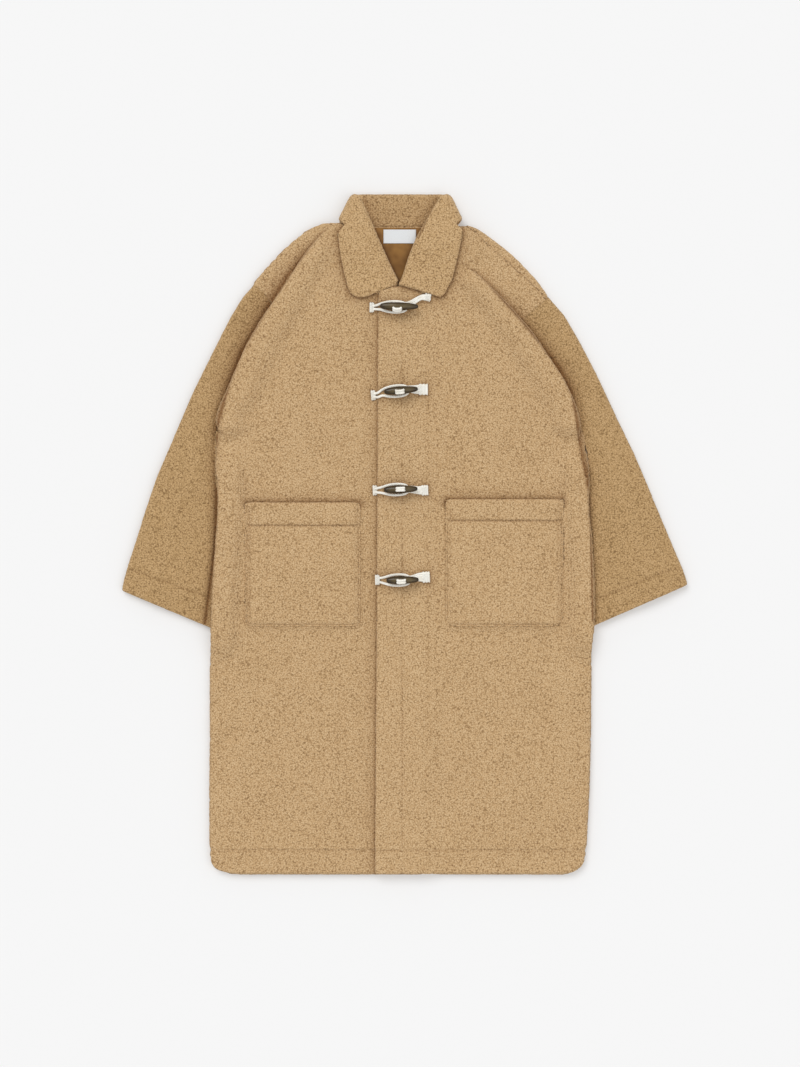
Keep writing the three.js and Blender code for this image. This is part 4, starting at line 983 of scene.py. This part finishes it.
def rounded(places, rounds=3):
    """A smooth line through the middle of a list of places (corners cut again and again)."""
    line = np.array(places, float)
    for _ in range(rounds):
        first, last = line[:1], line[-1:]
        near = 0.75 * line[:-1] + 0.25 * line[1:]
        far = 0.25 * line[:-1] + 0.75 * line[1:]
        line = np.vstack([first, np.stack([near, far], axis=1).reshape(-1, 3), last])
    return line


def even_steps(line, step):
    lengths = np.concatenate([[0], np.cumsum(np.linalg.norm(np.diff(line, axis=0), axis=1))])
    places = np.linspace(0, lengths[-1], max(3, int(lengths[-1] / step)))
    return np.stack([np.interp(places, lengths, line[:, axis]) for axis in range(3)], axis=1), places


def directions_across(line):
    """Two directions across a line at each of its places, which turn with it as little as they can."""
    along = np.gradient(line, axis=0)
    along /= np.linalg.norm(along, axis=1, keepdims=True)
    side = np.cross(along[0], (0.3, 0.2, 1))
    across = []
    for direction in along:
        side = side - direction * (side @ direction)
        side = side / np.linalg.norm(side)
        across.append(side)
    one = np.array(across)
    return one, np.cross(along, one)


def tube(line, radius, sides, close=True):
    """Points and faces of a tube along a line."""
    one, other = directions_across(line)
    turns = np.arange(sides) * 2 * np.pi / sides
    radius = np.broadcast_to(radius, len(line))
    ring = np.cos(turns)[None, :, None] * one[:, None] + np.sin(turns)[None, :, None] * other[:, None]
    points = (line[:, None] + ring * radius[:, None, None]).reshape(-1, 3)
    faces = []
    for i in range(len(line) - 1):
        for k in range(sides):
            a = i * sides + k
            b = i * sides + (k + 1) % sides
            faces.append((a, b, b + sides, a + sides))
    if close:
        faces.append(tuple(reversed(range(sides))))
        faces.append(tuple((len(line) - 1) * sides + k for k in range(sides)))
    return points, faces


def twisted(places, start=0.0):
    """Three plies laid round each other along a rounded line."""
    line, at = even_steps(rounded(places), CORD_STEP)
    one, other = directions_across(line)
    parts = []
    for ply in range(PLIES):
        turn = start + 2 * np.pi * (at / TWIST + ply / PLIES)
        centre = line + PLY_OFF * (np.cos(turn)[:, None] * one + np.sin(turn)[:, None] * other)
        parts.append(tube(centre, PLY, PLY_SIDES))
    return parts


def at_toggle(toggle, x, y):
    turn = math.radians(toggle["tilt"])
    return (
        toggle["x"] + x * math.cos(turn) - y * math.sin(turn),
        toggle["y"] + x * math.sin(turn) + y * math.cos(turn),
    )


def bar_wraps(x, y, z, width, height, length, wraps, turn):
    """Threads laid side by side across a cord end: flat loops round a small core."""
    parts = []
    spin = math.radians(turn)
    for i in range(wraps):
        here = length * ((i + 0.5) / wraps - 0.5)
        turns = np.linspace(0, 2 * np.pi, 25)
        lean = 0.5 * math.sin(i * 2.1)
        along = here + lean * np.sin(turns)
        across = (width / 2 + 0.5 * math.sin(i * 1.7)) * np.sign(np.cos(turns)) * np.abs(np.cos(turns)) ** 0.6
        ring = np.stack([
            x + along * math.cos(spin) - across * math.sin(spin),
            y + along * math.sin(spin) + across * math.cos(spin),
            z + height / 2 * np.sign(np.sin(turns)) * np.abs(np.sin(turns)) ** 0.7,
        ], axis=1)
        parts.append(tube(ring, length / wraps * 0.62, 6, close=False))
    return parts


def in_hole(toggle, x, height, middle, y):
    """A place on the axis of the toggle's hole, at a height above or below the toggle's own axis."""
    roll = math.radians(toggle["roll"])
    across = y * math.cos(roll) - height * math.sin(roll)
    up = height * math.cos(roll) + y * math.sin(roll)
    return (*at_toggle(toggle, toggle["holes"] + x, across), middle + up)


def loop_piece(toggle, top, under):
    loop_x, loop_y = toggle["loop"]
    half = LOOP_SPREAD
    over = loop_x > OVERLAP_EDGE - 1
    rest = top if over else under
    bar_x = loop_x - 1

    def rise(side):
        if over:
            return []
        return [
            (OVERLAP_EDGE - 3.6, loop_y + 2.9 * side, rest + 2.6),
            (OVERLAP_EDGE + 0.4, loop_y + 3.6 * side, top + 0.6),
        ]

    one_side = [(-30, half - 4.2), (-20, half - 1), (-8, half + 0.4), (5, half - 0.5), (11.5, 4.5)]
    other_side = [(x, -y) for x, y in reversed(one_side)]
    places = [
        (bar_x - 1.5, loop_y + 2.5, rest), (bar_x + 1.5, loop_y + 2.6, rest), *rise(1),
        *((*at_toggle(toggle, x, y), top) for x, y in (*one_side, (13.4, 0), *other_side)),
        *reversed(rise(-1)), (bar_x + 1.5, loop_y - 2.6, rest), (bar_x - 1.5, loop_y - 2.5, rest),
    ]
    wraps = bar_wraps(
        bar_x, loop_y, rest + 0.1, BAR_WIDTH - 1, WRAP_HEIGHT, BAR_LENGTH + 0.6, BAR_WRAPS, toggle["tilt"],
    )
    return joined(twisted(places) + wraps)


def tie_piece(toggle, floor, middle):
    over = floor + 3 * CORD + 0.4
    above = TOGGLE_RADIUS + 0.4 + CORD
    tab_x, tab_y = toggle["tab"]
    tab_z = floor + 1.9
    tab_end = tab_x + toggle["tab_length"]
    spread = toggle["tab_width"] / 2
    aside = HOLE_MOUTH * math.sin(math.radians(toggle["roll"]))
    parts = []
    for row, side in enumerate((1, -1)):
        shift = 1.9 * side
        places = [
            (tab_end, tab_y + (spread - 2) * side, tab_z),
            (tab_x + 2, tab_y + (spread - 2.4) * side, tab_z),
            (tab_x - 5, tab_y + (spread - 3.4) * side, tab_z + 1.4),
            (*at_toggle(toggle, 15, 4 * side + aside * 0.4), over - 0.6),
            (*at_toggle(toggle, 5, 3.2 * side + aside * 0.5), over),
            (*at_toggle(toggle, -3 + toggle["holes"], shift + aside * 0.7), over),
            *(in_hole(toggle, x, height, middle, y) for x, height, y in (
                (-HOLE_APART, -HOLE_MOUTH, shift * 0.8), (-HOLE_APART, -1, shift),
                (-HOLE_APART, above - 1.6, shift), (1.8 - HOLE_APART, above, shift),
                (HOLE_APART - 1.8, above, shift), (HOLE_APART, above - 1.6, shift),
                (HOLE_APART, -1, shift), (HOLE_APART, -HOLE_MOUTH, shift * 0.6),
            )),
            (*at_toggle(toggle, HOLE_APART + 3 + toggle["holes"], shift * 0.5 + aside * 0.6), over + 0.2),
            (*at_toggle(toggle, 15, 1.6 * side + aside * 0.3), over - 0.6),
            (tab_x - 4, tab_y + 1.7 * side, tab_z + 1.4),
            (tab_x + 2, tab_y + 1.8 * side, tab_z), (tab_end, tab_y + 1.8 * side, tab_z),
        ]
        parts += twisted(places, start=row)
    tab_middle = tab_x + toggle["tab_length"] * 0.58
    wrapped = toggle["tab_length"] * 0.84
    parts += bar_wraps(
        tab_middle, tab_y, tab_z, toggle["tab_width"], WRAP_HEIGHT, wrapped, TAB_WRAPS, toggle["tab_turn"],
    )
    return joined(parts)


def closure_pieces(toggle):
    k = toggle["name"]
    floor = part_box("tie_" + k)[0].z / MM
    middle = (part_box("toggle_" + k)[0].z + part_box("toggle_" + k)[1].z) / 2 / MM
    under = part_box("loop_" + k)[0].z / MM + CORD + 0.5
    loop = make_object("loop_" + k + "_cord", *loop_piece(toggle, floor + CORD + 0.3, under), cord_cotton)
    tie = make_object("tie_" + k + "_cord", *tie_piece(toggle, floor, middle), cord_cotton)
    horn = toggle_piece(toggle, middle)
    for piece, node, slot in ((loop, "loop_", "cord"), (tie, "tie_", "cord"), (horn, "toggle_", "horn")):
        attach(piece, "root")
        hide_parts(node + k)


def toggle_piece(toggle, middle):
    """A horn-shaped peg, thicker towards its left end, with two slots across it."""
    length = toggle["length"]
    at = np.linspace(0, 1, 60)
    at = 0.5 - 0.5 * np.cos(np.pi * at)
    belly = np.sin(np.pi * at ** 0.95) ** 0.27
    radius = TOGGLE_RADIUS * 1.03 * np.clip(belly, 0, 1) * (1 - 0.12 * ramp(0.4, 1, at))
    line = np.zeros((len(at), 3))
    line[:, 0] = (at - 0.5) * length
    points, faces = tube(line, np.maximum(radius, 0.05), 48)
    roll = math.radians(toggle["roll"])
    tilt = math.radians(toggle["tilt"])
    rolled = np.array([[1, 0, 0], [0, math.cos(roll), -math.sin(roll)], [0, math.sin(roll), math.cos(roll)]])
    tilted = np.array([[math.cos(tilt), -math.sin(tilt), 0], [math.sin(tilt), math.cos(tilt), 0], [0, 0, 1]])
    spin = tilted @ rolled
    place = np.array([toggle["x"], toggle["y"], middle])
    piece = make_object("toggle_" + toggle["name"] + "_horn", points @ spin.T + place, faces, toggle_horn)
    for x in (toggle["holes"] - HOLE_APART, toggle["holes"] + HOLE_APART):
        turns = np.arange(HOLE_SIDES) * 2 * np.pi / HOLE_SIDES
        ring = np.stack([x + HOLE[0] * np.cos(turns), HOLE[1] * np.sin(turns), 0 * turns], axis=1)
        low, high = ring - (0, 0, HOLE_HALF), ring + (0, 0, HOLE_HALF)
        after = [(i, (i + 1) % HOLE_SIDES) for i in range(HOLE_SIDES)]
        hole_faces = [(i, k, HOLE_SIDES + k, HOLE_SIDES + i) for i, k in after]
        hole_faces += [tuple(reversed(range(HOLE_SIDES))), tuple(range(HOLE_SIDES, 2 * HOLE_SIDES))]
        hole = make_object("hole", np.vstack([low, high]) @ spin.T + place, hole_faces, toggle_horn)
        cut = piece.modifiers.new("hole", "BOOLEAN")
        cut.operation = "DIFFERENCE"
        cut.solver = "EXACT"
        cut.object = hole
        bpy.context.view_layer.update()
        graph = bpy.context.evaluated_depsgraph_get()
        shaped = bpy.data.meshes.new_from_object(piece.evaluated_get(graph))
        piece.modifiers.clear()
        piece.data = shaped
        bpy.data.objects.remove(hole)
    places = np.empty(3 * len(piece.data.vertices))
    piece.data.vertices.foreach_get("co", places)
    own = (to_coat(places.reshape(-1, 3) / MM) - place) @ tilted
    across = np.abs(own[:, 1]) / TOGGLE_RADIUS
    along = np.abs(own[:, 0]) / (length / 2)
    # Painted shade for the horn: 1 along the toggle's middle, falling to 0 at its rims and ends
    give_attribute(piece, "belly", np.clip(1 - across ** 2, 0, 1) * np.clip(1.25 - along ** 2, 0, 1))
    return piece


for toggle in TOGGLES:
    closure_pieces(dict(zip(TOGGLE_KEYS, toggle)))


# Floor, light and camera

FLOOR_REACH = 4.0
FLOOR_GLOW = 0.18


def make_floor():
    mesh = bpy.data.meshes.new("floor")
    corners = [(x * FLOOR_REACH, y * FLOOR_REACH, 0) for x, y in ((-1, -1), (1, -1), (1, 1), (-1, 1))]
    mesh.from_pydata(corners, [], [(0, 1, 2, 3)])
    material, nodes, links, shader = new_material("pale_floor")
    set_shader(
        shader, Base_Color=(0.7, 0.7, 0.7, 1), Roughness=0.9, Specular_IOR_Level=0.1,
        Emission_Color=(1, 1, 1, 1), Emission_Strength=FLOOR_GLOW,
    )
    mesh.materials.append(material)
    floor = bpy.data.objects.new("floor", mesh)
    floor.location.z = -0.0004
    bpy.context.scene.collection.objects.link(floor)


def make_light(name, direction, strength, softness):
    """A distant lamp that shines along a direction, soft by its angle (degrees)."""
    light = bpy.data.lights.new(name, "SUN")
    light.energy = strength
    light.angle = math.radians(softness)
    lamp = bpy.data.objects.new(name, light)
    lamp.rotation_mode = "QUATERNION"
    lamp.rotation_quaternion = Vector(direction).to_track_quat("-Z", "Y")
    bpy.context.scene.collection.objects.link(lamp)


make_floor()
make_light("key", (0.45, -0.75, -1.0), 1.15, 35)
make_light("fill", (-0.6, 0.3, -1.0), 0.5, 50)
world = bpy.data.worlds.new("studio")
world.use_nodes = True
world.node_tree.nodes["Background"].inputs["Color"].default_value = (1, 1, 1, 1)
world.node_tree.nodes["Background"].inputs["Strength"].default_value = 0.66
bpy.context.scene.world = world
bpy.context.scene.view_settings.view_transform = "Standard"

# The photograph's frame: its scale and the middle of its view (mm on the coat's axes)
PHOTO_SIZE = (800, 1067)
PHOTO_SCALE = 1.6
PHOTO_MIDDLE = (-5.6, 544.0)
CAMERA_HEIGHT = 4.2
CLOTH_LEVEL = 0.012


def make_camera():
    data = bpy.data.cameras.new("camera")
    data.sensor_width = 36
    long_side = PHOTO_SIZE[1] * PHOTO_SCALE * MM
    data.lens = data.sensor_width * (CAMERA_HEIGHT - CLOTH_LEVEL) / long_side
    camera = bpy.data.objects.new("camera", data)
    middle = from_coat(np.array([PHOTO_MIDDLE[0], PHOTO_MIDDLE[1], 0.0])) * MM
    camera.location = (middle[0], middle[1], CAMERA_HEIGHT)
    bpy.context.scene.collection.objects.link(camera)
    bpy.context.scene.camera = camera


make_camera()
